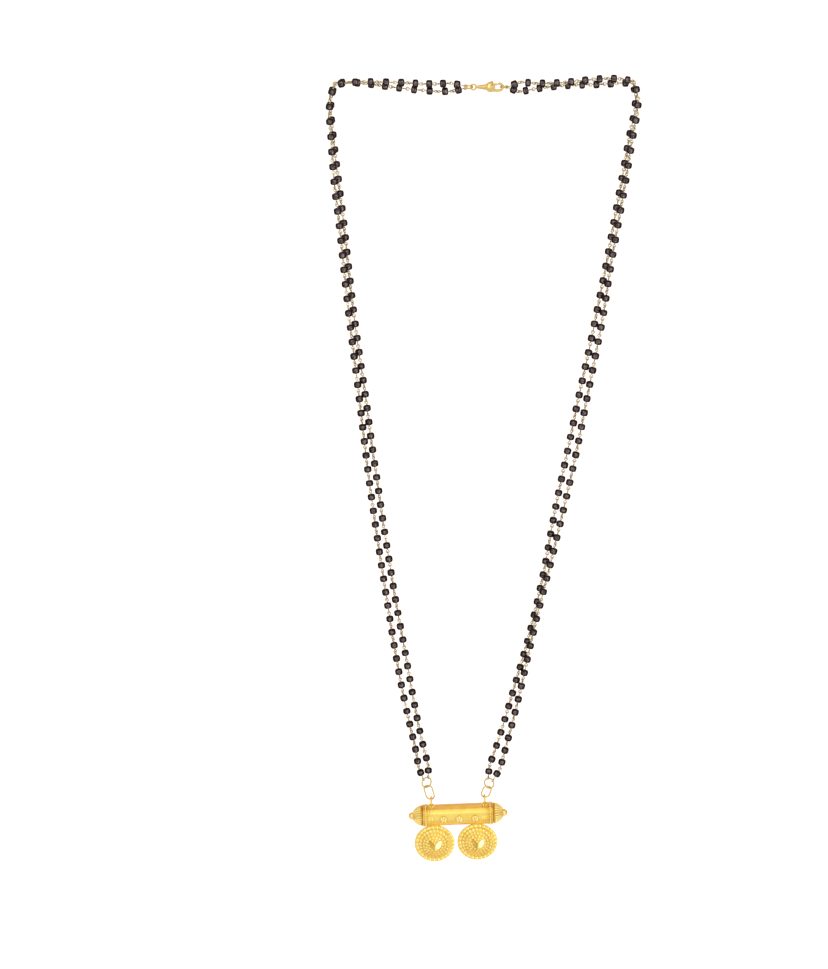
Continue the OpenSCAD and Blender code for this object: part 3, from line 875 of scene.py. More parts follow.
@dataclass
class Clasp:
    """Claw clasp, cast in one piece: an eye, a shank that flattens towards the head, a
    head with a slot for the lever, and a hooked claw. The lever stays the CAD's solid.
    """

    tail: RingFrame
    catch: RingFrame
    head_h: float = 3.5
    thick: float = 2.0
    reach: float = 3.2
    wire: float = 0.95
    eye_d: float = 2.6
    eye_wire: float = 0.6
    shank_thin: float = 0.8
    shank_tall: float = 0.36
    lever_t: float = 0.9
    lever_gap: float = 0.07
    hub_wall: float = 0.3
    pin_d: float = 0.6
    pin_shift: float = 0.5
    slot_depth: float = 0.6
    edge: float = 0.18
    nick: float = 0.08
    bore_edge: float = 0.04
    inset: float = 0.06
    shank_end: float = 0.05
    web_inset: float = 0.01
    soften: float = 0.3
    sides: int = 24
    eye_sides: int = 16

    def __post_init__(self) -> None:
        """Works out the places of the eye, the head, the nose and the lever's pin."""
        self.z = float(self.tail.middle[2])
        self.arm_r = (self.head_h - self.wire) / 2
        self.eye_r = (self.eye_d - self.eye_wire) / 2
        in_tail = self.tail.middle[0] + (TAIL_RING_D - RING_WIRE) / 2
        self.eye_x = in_tail - (self.eye_wire + RING_WIRE) / 2 - HANG_GAP + self.eye_r
        in_catch = self.catch.middle[0] - (CATCH_RING_D - RING_WIRE) / 2
        self.nose_x = in_catch + (self.wire + RING_WIRE) / 2 + HANG_GAP - self.arm_r
        self.head_x = self.nose_x - self.reach
        self.hub_r = self.pin_d / 2 + self.hub_wall
        self.pin = np.array([self.head_x + self.pin_shift, 0.0, self.z + self.arm_r - self.hub_wall])
        self.slot_x = self.pin[0] - self.hub_r - 2 * self.lever_gap
        self.slot_z = self.pin[2] - self.hub_r - self.slot_depth

    def eye(self) -> Shape:
        """Round eye that the tail ring hangs in: a circle of round wire.

        Returns:
            The eye.
        """
        turn = full_turn(2 * self.sides)
        circle = self.eye_r * np.stack([np.cos(turn), 0 * turn, np.sin(turn)], axis=-1)
        path = circle + np.array([self.eye_x, 0.0, self.z])
        return sweep(path, self.eye_wire / 2, BACKWARD, self.eye_sides, closed=True)

    def shank(self) -> Shape:
        """Shank of oval sections that ends in the head, short of the slot. Its half height
        grows evenly from a share of the eye's wire to a share of the head's height, and
        its half depth is the softened lesser of that and a limit inside the head's sides.

        Returns:
            The shank.
        """
        way = np.linspace(0, 1, 24)[:, None]
        turn = full_turn(self.sides)[None, :]
        thin = self.eye_wire * self.shank_thin
        tall = thin + way * (self.head_h * self.shank_tall - thin)
        deep = softened(tall, self.thick / 2 - self.inset, self.soften, -1)
        start, stop = self.eye_x + self.eye_r, self.slot_x - self.shank_end
        x = start + way * (stop - start) + 0 * turn
        points = np.stack([x, deep * np.cos(turn), self.z + tall * np.sin(turn)], axis=-1)
        return surface(points, None, False)

    def cheek(self, way: int) -> Shape:
        """One side of the head: a round plate with a rounded edge, a bevel along the slot
        and a bore for the pin. Its rings go from the bore's circle to the plate's and back.

        Args:
            way: -1 for the front side and 1 for the back.

        Returns:
            The plate.
        """
        head = np.array([self.head_x, 0.0, self.z])
        inner, outer = self.lever_t / 2 + self.lever_gap, self.thick / 2
        bore = self.pin_d / 2 + self.lever_gap
        full = self.head_h / 2
        bend = np.linspace(0, math.pi / 2, 6)
        rim_r, rim_y = self.edge * (np.cos(bend) - 1), self.edge * (np.sin(bend) - 1)
        start_r, start_y = [bore, full - self.nick, full], [inner, inner, inner + self.nick]
        stop_r, stop_y = [bore + self.bore_edge, bore], [outer, outer - self.bore_edge]
        radius = np.concatenate([start_r, full + rim_r, stop_r])
        depth = np.concatenate([start_y, outer + rim_y, stop_y])
        share = np.concatenate([[0.0, 1.0, 1.0], np.ones(len(bend)), [0.0, 0.0]])[:, None]
        middle = (1 - share) * self.pin + share * head
        turn = full_turn(2 * self.sides)
        x = middle[:, :1] + radius[:, None] * np.cos(turn)
        z = middle[:, 2:] + radius[:, None] * np.sin(turn)
        y = way * depth[:, None] + 0 * x
        return surface(np.stack([x, y, z], axis=-1), None, True)

    def web(self) -> Shape:
        """Middle of the head, a round plate less the corner that the slot takes: its
        outline runs from the slot's corner up its wall, round the rim and back.

        Returns:
            The plate.
        """
        wall, floor = self.slot_x - self.head_x, self.slot_z - self.z
        radius = self.head_h / 2 - self.web_inset
        first, last = math.acos(wall / radius), 2 * math.pi + math.asin(floor / radius)
        turn = np.linspace(first, last, 40)
        x = np.concatenate([[wall], radius * np.cos(turn)]) + self.head_x
        z = np.concatenate([[floor], radius * np.sin(turn)]) + self.z
        half = self.lever_t / 2 + self.lever_gap + self.nick
        y = np.array([[-half], [half]]) + 0 * x
        return surface(np.stack([x + 0 * y, y, z + 0 * y], axis=-1), None, False)

    def claw(self) -> Shape:
        """Hooked claw of round wire: a straight arm, a half circle and a round tip, whose
        radius is the square root of one less the square of the way along it.

        Returns:
            The claw.
        """
        half = self.wire / 2
        bend = np.linspace(-math.pi / 2, math.pi / 2, 28)
        tip = np.sin(np.linspace(0, math.pi / 2 - 0.1, 8))[1:]
        x = np.concatenate([[self.head_x - self.nose_x], self.arm_r * np.cos(bend), -half * tip])
        z = np.concatenate([[-self.arm_r], self.arm_r * np.sin(bend), self.arm_r + 0 * tip])
        radius = half * np.concatenate([np.ones(len(bend) + 1), np.sqrt(1 - tip**2)])
        path = np.stack([x + self.nose_x, 0 * x, z + self.z], axis=-1)
        return sweep(path, radius, BACKWARD, self.sides)

    def body(self) -> Shape:
        """The whole cast body."""
        cheeks = [self.cheek(-1), self.cheek(1)]
        return joined([self.eye(), self.shank(), *cheeks, self.web(), self.claw()])


# Axes that lay a lathe's Z along the tube, with its turn starting at the front and
# running upwards, and axes that point it to the front.
FRONT_START = np.stack([-BACKWARD, UPWARD, RIGHTWARD])
TO_FRONT = np.stack([RIGHTWARD, UPWARD, -BACKWARD])

# A vati's rows of scales: number, radius as a share of the dome's, half length and turn
# in degrees. Its two leaves: lean in degrees and half width as a share of the dome's.
SCALE_ROWS = (
    (25, 0.885, 0.66, 0),
    (21, 0.69, 0.62, 5),
    (15, 0.515, 0.62, -8),
    (11, 0.34, 0.6, 12),
    (5, 0.16, 0.5, 0),
)
LEAVES = ((-24, 0.12), (32, 0.2))


@dataclass
class Pendant:
    """Tube with collars, bails and rosettes, two vatis and two ribbed caps.

    Its own frame has X along the tube, its front towards -Y and the tube's middle at
    the origin.
    """

    tube_r: float = 4.2
    tube_l: float = 27.6
    wall: float = 0.5
    relief: float = 0.35
    collar_w: float = 2.2
    collar_grains: int = 26
    bail_shift: float = 0.2
    bail_span: float = 21.0
    bail_d: float = 3.8
    bail_wire: float = 0.75
    bail_sides: int = 16
    bail_lift: float = 0.1
    bail_grains: int = 6
    rosette_shift: float = 0.5
    rosette_span: float = 6.2
    rosette_r: float = 1.5
    rosette_fall: float = 3.0
    rosette_petals: int = 5
    rosette_eye: float = 0.27
    petal_start: float = 0.32
    petal_half: float = 0.34
    ring_shade_half: float = 0.12
    turned_lines: tuple[float, ...] = (0.45, 0.95, 1.7)
    line_half: float = 0.07
    line_depth: float = 0.06
    grain_relief: float = 0.85
    cap_l: float = 3.9
    cap_gap: float = 0.1
    cap_ribs: int = 22
    cap_arc: float = 1.6
    cap_top: float = 0.55
    finial_d: float = 2.8
    finial_rise: float = 0.1
    vati_d: float = 15.8
    vati_span: float = 16.9
    vati_shift: float = -1.25
    vati_lap: float = 0.2
    vati_forward: float = 1.0
    vati_rise: float = 2.6
    vati_wall: float = 0.6
    rim_w: float = 1.5
    rim_pads: int = 26
    pad_groove: float = 0.45
    scale_fill: float = 0.48
    low_from: float = 125.0
    low_over: float = 20.0
    leaf_foot: float = 0.34
    foot_round: float = 0.5
    scallop: float = 0.009
    dent: float = 0.018
    ease: float = 0.01
    pole: float = 0.01
    axes: Values = field(init=False)

    def __post_init__(self) -> None:
        """Works out the axes of the tilted tube."""
        cos, sin = math.cos(PENDANT_TILT), math.sin(PENDANT_TILT)
        self.axes = np.array([[cos, 0.0, sin], [0.0, 1.0, 0.0], [-sin, 0.0, cos]])

    def placed(self, shape: Shape) -> Shape:
        """The shape moved from the pendant's own frame to the row's."""
        return shape.placed(PENDANT_AT, self.axes)

    def point(self, x: float, y: float, z: float) -> Values:
        """A point of the pendant's own frame, in the row's."""
        return PENDANT_AT + np.array([x, y, z]) @ self.axes

    @property
    def bail_r(self) -> float:
        """Radius of a bail at the middle of its wire."""
        return (self.bail_d - self.bail_wire) / 2

    @property
    def bail_z(self) -> float:
        """Height of a bail's middle above the tube's."""
        return self.tube_r + self.bail_d / 2 + self.bail_lift

    def hinge(self, hand: Hand) -> Values:
        """Where an oval link's wire lies in a bail."""
        z = self.bail_z + self.bail_r - self.bail_wire / 2 - RING_WIRE / 2 - HANG_GAP
        return self.point(self.bail_shift + hand.value * self.bail_span / 2, 0.0, z)

    def rosette_way(self, x: Values, arc: Values) -> tuple[Values, Values]:
        """Way across and up from the middle of the nearest rosette.

        Args:
            x: Place along the tube.
            arc: Length round the tube from the front, upwards.

        Returns:
            The way across and the way up.
        """
        nearest = np.clip(np.round((x - self.rosette_shift) / self.rosette_span), -1, 1)
        across = x - self.rosette_shift - nearest * self.rosette_span
        return across, arc + self.tube_r * math.radians(self.rosette_fall)

    def rosette_height(self, across: Values, up: Values) -> Values:
        """Height of a rosette from 0 to 1: a round eye and petals whose half width is
        a sine of the way along them, each with a rounded back.

        Args:
            across: Way across from the rosette's middle.
            up: Way up from the rosette's middle.

        Returns:
            The height at each point.
        """
        reach = np.hypot(across, up) / self.rosette_r
        turn = fold(np.arctan2(across, up), self.rosette_petals)
        eye = np.sqrt(np.clip(1 - (reach / self.rosette_eye) ** 2, 0, 1))
        start = self.petal_start
        way = np.clip((reach * np.cos(turn) - start) / (1 - start), 0, 1)
        half = self.petal_half * np.sin(math.pi * way**0.8) + HAIR
        petal = np.sqrt(np.clip(1 - (reach * np.sin(turn) / half) ** 2, 0, 1))
        return np.maximum(eye, petal * (way > 0) * (way < 1))

    def tube(self) -> Shape:
        """Tube wall as a ring profile: the outer side carries the rosettes, fine turned lines beside
        the collars and slight dents, which are a product of two slow waves, and the inner side is
        plain. Its relief paints shade in the lines, in a ring round each rosette, under the collars
        and on the inner side, and paints the rosettes paler as a highlight.

        Returns:
            The tube's wall.
        """
        columns, rows = 240, 252
        x = np.linspace(-self.tube_l / 2, self.tube_l / 2, rows)
        grid_x, grid_turn = np.meshgrid(x, full_turn(columns), indexing="ij")
        front = (grid_turn + math.pi) % (2 * math.pi) - math.pi
        across, up = self.rosette_way(grid_x, front * self.tube_r)
        height = self.rosette_height(across, up)
        dents = np.sin(grid_x * 0.9 + 2 * np.cos(grid_turn)) * np.cos(2 * grid_turn + grid_x * 0.35)
        inner_end = self.tube_l / 2 - self.collar_w
        groove = np.zeros_like(grid_x)
        for offset in self.turned_lines:
            groove += np.exp(-(((np.abs(grid_x) - inner_end + offset) / self.line_half) ** 2))
        outer = self.tube_r + self.relief * height + self.dent * dents - self.line_depth * groove
        # Relief, read as colour: painted shade under the collars, in the turned lines and in a ring
        # round each rosette, and a painted highlight on the rosettes
        bed = np.where(np.abs(grid_x) < inner_end, PLAIN_RELIEF, BACK_RELIEF)
        relief = bed + 0.4 * height - 0.5 * np.clip(groove, 0, 1)
        ring_shade = np.exp(-(((np.hypot(across, up) - self.rosette_r) / self.ring_shade_half) ** 2))
        relief = np.clip(relief - 0.45 * ring_shade * (height < 0.2), 0, 1)
        ends = np.array([[self.tube_l / 2], [-self.tube_l / 2]])
        shape = lathe(
            np.concatenate([outer, np.full((2, columns), self.tube_r - self.wall)]),
            np.concatenate([grid_x, ends + np.zeros((1, columns))]),
            columns,
            ring=True,
            relief=np.concatenate([relief, np.full((2, columns), INNER_RELIEF)]),
        )
        return self.placed(shape.placed(np.zeros(3), FRONT_START))

    def grains(self, centres: Values, radius: float) -> Shape:
        """Solder grains, each a small sphere of a few dozen faces.

        Args:
            centres: Their middles in the pendant's own frame.
            radius: Their radius.

        Returns:
            All the grains in one shape.
        """
        turn = np.linspace(0, math.pi, 8)[1:-1]
        grain = lathe(radius * np.sin(turn), radius * np.cos(turn), 10)
        axes = np.broadcast_to(np.eye(3), (len(centres), 3, 3))
        shape = copies(grain, centres, axes, np.full(len(centres), PLAIN_TONE))
        # The grains' high relief paints them pale, as a highlight
        shape.relief[:] = self.grain_relief
        return shape

    def collars(self) -> Shape:
        """Both collars: two rounded bands, whose profile is a half circle on a short
        foot, with a row of grains between them.

        Returns:
            The collars.
        """
        edge = self.collar_w / 6
        grain_r = (self.collar_w - 2 * edge) * 0.29
        turn = np.linspace(0, math.pi, 9)
        foot = self.tube_r - 0.05
        band_r = np.concatenate([[foot], self.tube_r + self.relief * np.sin(turn), [foot]])
        band_x = np.concatenate([[edge / 2], edge / 2 * np.cos(turn), [-edge / 2]])
        parts = []
        for hand in Hand:
            middle = hand.value * (self.tube_l - self.collar_w) / 2
            for end in (-1, 1):
                at = middle + end * (self.collar_w - edge) / 2
                band = lathe(band_r, band_x + at, 120, ring=True)
                parts.append(band.placed(np.zeros(3), FRONT_START))
            angle = 2 * math.pi * (np.arange(self.collar_grains) + 0.5) / self.collar_grains
            y, z = -self.tube_r * np.sin(angle), self.tube_r * np.cos(angle)
            parts.append(self.grains(np.stack([0 * y + middle, y, z], -1), grain_r))
        return self.placed(joined(parts))

    def bails(self) -> Shape:
        """Both bails: a ring of round wire on a post whose radius has a waist of a sine,
        in a circle of grains.

        Returns:
            The bails.
        """
        turn = full_turn(64)
        circle = self.bail_r * np.stack([0 * turn, np.cos(turn), np.sin(turn)], axis=-1)
        height = np.linspace(self.tube_r - self.wall / 2, self.bail_z - self.bail_r, 9)
        waist = 1 - 0.25 * np.sin(np.linspace(0, math.pi, 9))
        around = full_turn(self.bail_grains)
        ring_r, seat = self.bail_wire * 1.3, self.tube_r - self.wall / 4
        parts = []
        for hand in Hand:
            x = self.bail_shift + hand.value * self.bail_span / 2
            path = circle + np.array([x, 0.0, self.bail_z])
            wire = sweep(path, self.bail_wire / 2, RIGHTWARD, self.bail_sides, closed=True)
            parts.append(wire)
            post = lathe(self.bail_wire * 0.8 * waist, height, 20)
            parts.append(post.placed(x * RIGHTWARD, np.eye(3)))
            seats = np.stack(
                [x + ring_r * np.cos(around), ring_r * np.sin(around), seat + 0 * around], -1
            )
            parts.append(self.grains(seats, self.bail_wire * 0.6))
        return self.placed(joined(parts))

    @property
    def vati_drop(self) -> float:
        """Drop from the tube's middle to a vati's, whose rim laps into the tube."""
        underside = math.sqrt(self.tube_r**2 - self.vati_forward**2)
        return self.vati_d / 2 + underside - self.vati_lap

    @property
    def dome_foot(self) -> float:
        """Radius of a vati's dome at its rim."""
        return self.vati_d / 2 - self.rim_w

    def vati_height(self, across: Values, up: Values) -> Values:
        """Height of a vati's cast relief from 0 to 1.

        Two leaves stand in a V in the middle, among rows of small scales that point
        outwards, each a domed oval with a pit in it. They are lower near the bottom.

        Args:
            across: Place across the vati.
            up: Place up the vati.

        Returns:
            The height at each point.
        """
        foot = self.dome_foot
        layers = [
            self.scales(across, up, count, share * foot, tall, turn)
            for count, share, tall, turn in SCALE_ROWS
        ]
        scales = np.max(np.stack(layers), axis=0)
        leaves = np.maximum(self.leaf(across, up, 0), self.leaf(across, up, 1))
        return np.where(leaves > 0, leaves, scales)

    def leaf(self, across: Values, up: Values, which: int) -> Values:
        """Height of one of the two leaves, which are flat along their middles.

        Args:
            across: Place across the vati.
            up: Place up the vati.
            which: The leaf's number, 0 for the one with painted shade.

        Returns:
            The height, 0 outside the leaf.
        """
        lean, half = LEAVES[which]
        foot = self.dome_foot
        root = up + foot * self.leaf_foot
        shape = self.petal(across, root, lean, 0.02 * foot, 0.78 * foot, half * foot)
        return np.clip(shape * 1.6, 0, 1)

    def scales(
        self, across: Values, up: Values, count: int, radius: float, tall: float, turn: float
    ) -> Values:
        """A row of scales: each one less the squares of its shares of length and width,
        curled round a pit, lower at the bottom and uneven by a sine of its place.

        Args:
            across: Place across the vati.
            up: Place up the vati.
            count: Number of scales in the row.
            radius: Radius of the row.
            tall: Half length of a scale.
            turn: Turn of the row in degrees.

        Returns:
            The height, 0 outside the scales.
        """
        cos, sin = math.cos(math.radians(turn)), math.sin(math.radians(turn))
        outward, aside, centre = self.nearest_on_ring(
            across * cos - up * sin, across * sin + up * cos, count, radius
        )
        wide = self.scale_fill * 2 * math.pi * radius / count
        oval = np.clip(1 - (outward / tall) ** 2 - (aside / wide) ** 2, 0, 1) ** 0.7
        pit = np.exp(-((outward + 0.4 * tall) ** 2 + (aside - 0.3 * wide) ** 2) / 0.04)
        low = np.clip((np.abs(centre) - self.low_from) / self.low_over, 0, 1)
        uneven = 0.8 + 0.2 * np.sin(centre * 37 + radius * 11)
        return np.clip(oval - 0.8 * pit, 0, 1) * (1 - 0.3 * low) * uneven

    def nearest_on_ring(
        self, across: Values, up: Values, count: int, radius: float
    ) -> tuple[Values, Values, Values]:
        """Way from the nearest of some centres that stand evenly on a circle.

        Args:
            across: Place across the vati.
            up: Place up the vati.
            count: Number of centres, with the lowest two beside the bottom.
            radius: Radius of the circle.

        Returns:
            The way outwards and aside, and the centre's angle from the top in degrees.
        """
        turn = np.arctan2(across, up)
        off = fold(turn - math.pi - math.pi / count, count)
        reach = np.hypot(across, up)
        centre = np.degrees((turn - off + math.pi) % (2 * math.pi) - math.pi)
        return reach * np.cos(off) - radius, reach * np.sin(off), centre

    def petal(
        self, across: Values, up: Values, lean: float, start: float, stop: float, half: float
    ) -> Values:
        """A petal, wide where a sine of the way along it is large, with a rounded back.

        Args:
            across: Place across the vati, from the petal's root.
            up: Place up the vati, from the petal's root.
            lean: Angle of the petal from upright in degrees.
            start: Distance from the root at which it starts.
            stop: Distance at which it ends.
            half: Its largest half width.

        Returns:
            The height, 0 outside the petal.
        """
        angle = math.radians(lean)
        along = across * math.sin(angle) + up * math.cos(angle)
        aside = across * math.cos(angle) - up * math.sin(angle)
        way = np.clip((along - start) / (stop - start), 0, 1)
        width = half * np.sin(math.pi * way) ** 0.8 + HAIR
        return np.sqrt(np.clip(1 - (aside / width) ** 2, 0, 1)) * (way > 0) * (way < 1)

    def vati(self, hand: Hand) -> Shape:
        """One vati: a dome of a sphere's cap with its relief, a flat rim of cushioned
        pads with a scalloped edge and a plain hollow back, as one turned profile.

        Args:
            hand: Which of the two.

        Returns:
            The vati.
        """
        columns, rows = 520, 108
        turn = full_turn(columns)[None, :]
        foot, half, rise = self.dome_foot, self.vati_wall / 2, self.vati_rise
        sphere_r = (foot**2 + rise**2) / (2 * rise)

        # Dome: the sphere's cap, softened into the rim's level, and its relief
        out = np.linspace(self.pole, 1, rows)[:, None] * foot
        across, up = out * np.cos(turn), out * np.sin(turn)
        height = self.vati_height(across, up)
        dome = rise - sphere_r + np.sqrt(sphere_r**2 - out**2)
        fade = np.clip((1 - out / foot) / 0.03, 0, 1)
        soft = softened(dome, half + self.relief * 0.5, self.foot_round, 1)
        dome_z = soft + self.relief * height * fade
        # Relief, read as colour: painted shade on the left leaf and in low places, a painted
        # highlight on the raised scales and leaves
        shaded_leaf = self.leaf(across, up, 0) > 0
        dome_relief = np.where(shaded_leaf, 0.2, 0.3 + 0.75 * height)

        # Rim: pads, each cushioned across its width and parted by grooves
        groove = np.abs(fold(turn + math.pi / 2, self.rim_pads)) * self.vati_d / 2
        pad = np.clip(groove / self.pad_groove, 0, 1) ** 0.7
        way = np.array([[0.0], [0.04], [0.14], [0.3], [0.5], [0.7], [0.86], [0.96]])
        rim_out = foot + 0.03 + way * (self.rim_w - half - 0.03)
        cushion = pad * (0.4 + 0.6 * np.sin(math.pi * way) ** 0.5)
        rim_z = half + self.relief * (0.2 + 0.3 * cushion)

        # Edge: a half circle, drawn in a little at the grooves
        bend = np.linspace(math.pi / 2, -math.pi / 2, 9)[:, None]
        edge_out = self.vati_d / 2 - self.ease - half + half * np.cos(bend)
        edge_out = edge_out * (1 - self.scallop * (1 - pad))
        edge_z = half * np.sin(bend) + 0 * turn

        # Back: a smaller sphere's cap
        inner_r = sphere_r - self.vati_wall
        inner_foot = math.sqrt(inner_r**2 - (sphere_r - rise - half) ** 2)
        back_out = np.linspace(1, self.pole, 26)[:, None] * inner_foot
        back_z = rise - sphere_r + np.sqrt(inner_r**2 - back_out**2)

        ones = np.ones((1, columns))
        shell = lathe(
            np.concatenate([out * ones, rim_out * ones, edge_out, back_out * ones]),
            np.concatenate([dome_z, rim_z, edge_z, back_z * ones]),
            columns,
            # Relief, read as colour: painted shade in the rim's and edge's grooves and on the hollow
            # back, and paler raised pads
            relief=np.concatenate(
                [dome_relief, 0.25 + 0.5 * cushion, 0.15 + 0.5 * pad + 0 * bend,
                 BACK_RELIEF * ones + 0 * back_z]
            ),
        )
        x = self.vati_shift + hand.value * self.vati_span / 2
        middle = np.array([x, -self.vati_forward, -self.vati_drop])
        return self.placed(shell.placed(middle, TO_FRONT))

    def cap(self, hand: Hand) -> Shape:
        """Ribbed cap: a dome whose profile is an arc, with ribs as a rounded wave round
        it, a plain flange, a neck and a round finial.

        Args:
            hand: Which end of the tube.

        Returns:
            The cap with its plug.
        """
        columns = self.cap_ribs * 12
        turn = full_turn(columns)[None, :]
        wave = np.abs(np.cos(turn * self.cap_ribs / 2))

        # Dome: an arc over the chord from its foot to its top, found from the arc's middle
        arc_r, foot = self.tube_r * self.cap_arc, self.tube_r - self.relief
        chord = np.array([self.finial_d * self.cap_top - foot, self.cap_l])
        span = float(np.hypot(chord[0], chord[1]))
        inward = np.array([-chord[1], chord[0]]) / span
        middle = np.array([foot, 0.0]) + chord / 2 + inward * math.sqrt(arc_r**2 - span**2 / 4)
        flange = self.collar_w / 4
        way = np.linspace(0, 1, 40)[:, None]
        x = flange + way * (self.cap_l - flange)
        base = middle[0] + np.sqrt(arc_r**2 - (x - middle[1]) ** 2)
        fade = np.clip(way / 0.08, 0, 1) * np.clip((1 - way) / 0.06, 0, 1)
        dome_r = base + self.relief * fade * wave

        # Finial: a ball that starts where its neck meets it
        ball_r, ball_x = self.finial_d / 2, self.cap_l + self.finial_d * self.finial_rise
        start = math.acos((self.cap_l + 0.03 - ball_x) / ball_r)
        bend = np.linspace(start, 0.03, 18)[:, None]

        # Plug, lip and flange, and the neck, as rows of radius and place
        plug_r, plug_x = self.tube_r - self.wall - self.cap_gap, -self.collar_w / 2
        low = np.array(
            [
                (self.pole, plug_x), (plug_r - 0.1, plug_x), (plug_r, plug_x + 0.1), (plug_r, 0.0),
                (self.tube_r - 0.3, 0.0), (self.tube_r - 0.05, 0.25),
                (self.tube_r, flange - 0.06), (self.tube_r - 0.06, flange),
            ]
        )
        neck = np.array([(base[-1, 0] - 0.1, self.cap_l), (ball_r - 0.1, self.cap_l)])

        ones = np.ones((1, columns))
        # Relief, read as colour: painted shade on the flange, in the rib gaps and at the neck, and a
        # painted highlight on the rib crests, rising towards the finial, and on the ball
        parts = (
            (low[:, :1] * ones, low[:, 1:], BACK_RELIEF),
            (dome_r, x, 0.2 + 0.8 * wave * fade + 0.35 * way**3),
            (neck[:, :1] * ones, neck[:, 1:], 0.1),
            (ball_r * np.sin(bend) * ones, ball_x + ball_r * np.cos(bend), 0.7),
        )
        shape = lathe(
            np.concatenate([radius for radius, _, _ in parts]),
            np.concatenate([place for _, place, _ in parts]),
            columns,
            relief=np.concatenate([np.zeros(radius.shape) + relief for radius, _, relief in parts]),
        )
        shape = shape.placed((self.tube_l / 2 + self.cap_gap) * RIGHTWARD, FRONT_START)
        if hand is Hand.LEFT:
            shape.points[:, 0] *= -1
            shape = shape.facing_out()
        return self.placed(shape)


class Nodes:
    """Short ways to add and join the nodes of a material or of a shared group."""

    def __init__(self, tree: bpy.types.NodeTree) -> None:
        """Keeps the tree.

        Args:
            tree: The node tree to build in.
        """
        self.tree = tree

    def add(self, kind: str, **settings: object) -> bpy.types.Node:
        """Adds a node.

        Args:
            kind: Blender's name of the node type.
            settings: Properties of the node.

        Returns:
            The node.
        """
        node = self.tree.nodes.new(kind)
        for name, value in settings.items():
            setattr(node, name, value)
        return node

    def feed(self, target: bpy.types.NodeSocket, source: object) -> None:
        """Gives an input a value, or links it where the source is an output.

        Args:
            target: The input.
            source: An output, a number or a colour.
        """
        if isinstance(source, bpy.types.NodeSocket):
            self.tree.links.new(source, target)
        else:
            target.default_value = source

    def maths(self, operation: str, first: object, second: object = 0.0) -> bpy.types.NodeSocket:
        """Adds a Math node.

        Args:
            operation: Its operation.
            first: A socket or a number.
            second: A socket or a number.

        Returns:
            Its output.
        """
        node = self.add("ShaderNodeMath", operation=operation)
        for slot, value in zip(node.inputs, (first, second)):
            self.feed(slot, value)
        return node.outputs[0]

    def scaled(
        self, value: bpy.types.NodeSocket, factor: float, offset: object
    ) -> bpy.types.NodeSocket:
        """Adds a Math node that gives the value times a factor plus an offset.

        Args:
            value: The value.
            factor: What it is multiplied by.
            offset: A socket or a number.

        Returns:
            Its output.
        """
        product = self.maths("MULTIPLY_ADD", value, factor)
        self.feed(product.node.inputs[2], offset)
        return product

    def noise(
        self, place: bpy.types.NodeSocket, scale: object, detail: float
    ) -> bpy.types.NodeSocket:
        """Adds a Noise Texture node.

        Args:
            place: Place vector that the noise lies on.
            scale: A socket or a number.
            detail: Its finer layers.

        Returns:
            Its value from 0 to 1.
        """
        node = self.add("ShaderNodeTexNoise")
        for label, value in (("Vector", place), ("Scale", scale), ("Detail", detail)):
            self.feed(node.inputs[label], value)
        return node.outputs["Fac"]

    def blend(
        self, share: bpy.types.NodeSocket, first: object, second: object
    ) -> bpy.types.NodeSocket:
        """Adds a colour Mix node.

        Args:
            share: Share of the second colour.
            first: A socket or a colour.
            second: A socket or a colour.

        Returns:
            The mixed colour.
        """
        node = self.add("ShaderNodeMix", data_type="RGBA")
        for index, value in ((0, share), (6, first), (7, second)):
            self.feed(node.inputs[index], value)
        return node.outputs[2]

    def spread(
        self, value: bpy.types.NodeSocket, low: float, high: float, to_low: float, to_high: float
    ) -> bpy.types.NodeSocket:
        """Adds a clamped Map Range node from one span to another.

        Args:
            value: The value.
            low: Start of its span.
            high: End of its span.
            to_low: What the start becomes.
            to_high: What the end becomes.

        Returns:
            The mapped value.
        """
        node = self.add("ShaderNodeMapRange")
        labels = ("Value", "From Min", "From Max", "To Min", "To Max")
        for label, source in zip(labels, (value, low, high, to_low, to_high)):
            self.feed(node.inputs[label], source)
        return node.outputs["Result"]


def new_group(name: str, inputs: dict[str, object], outputs: dict[str, str]) -> bpy.types.NodeTree:
    """Makes an empty shader node group with named sockets.

    Args:
        name: Name of the group.
        inputs: Default value of each input; a tuple makes a colour socket.
        outputs: Socket type of each output.

    Returns:
        The group's tree.
    """
    tree = bpy.data.node_groups.new(name, "ShaderNodeTree")
    for label, value in inputs.items():
        kind = "NodeSocketColor" if isinstance(value, tuple) else "NodeSocketFloat"
        socket = tree.interface.new_socket(label, in_out="INPUT", socket_type=kind)
        socket.default_value = value
    for label, kind in outputs.items():
        tree.interface.new_socket(label, in_out="OUTPUT", socket_type=kind)
    return tree


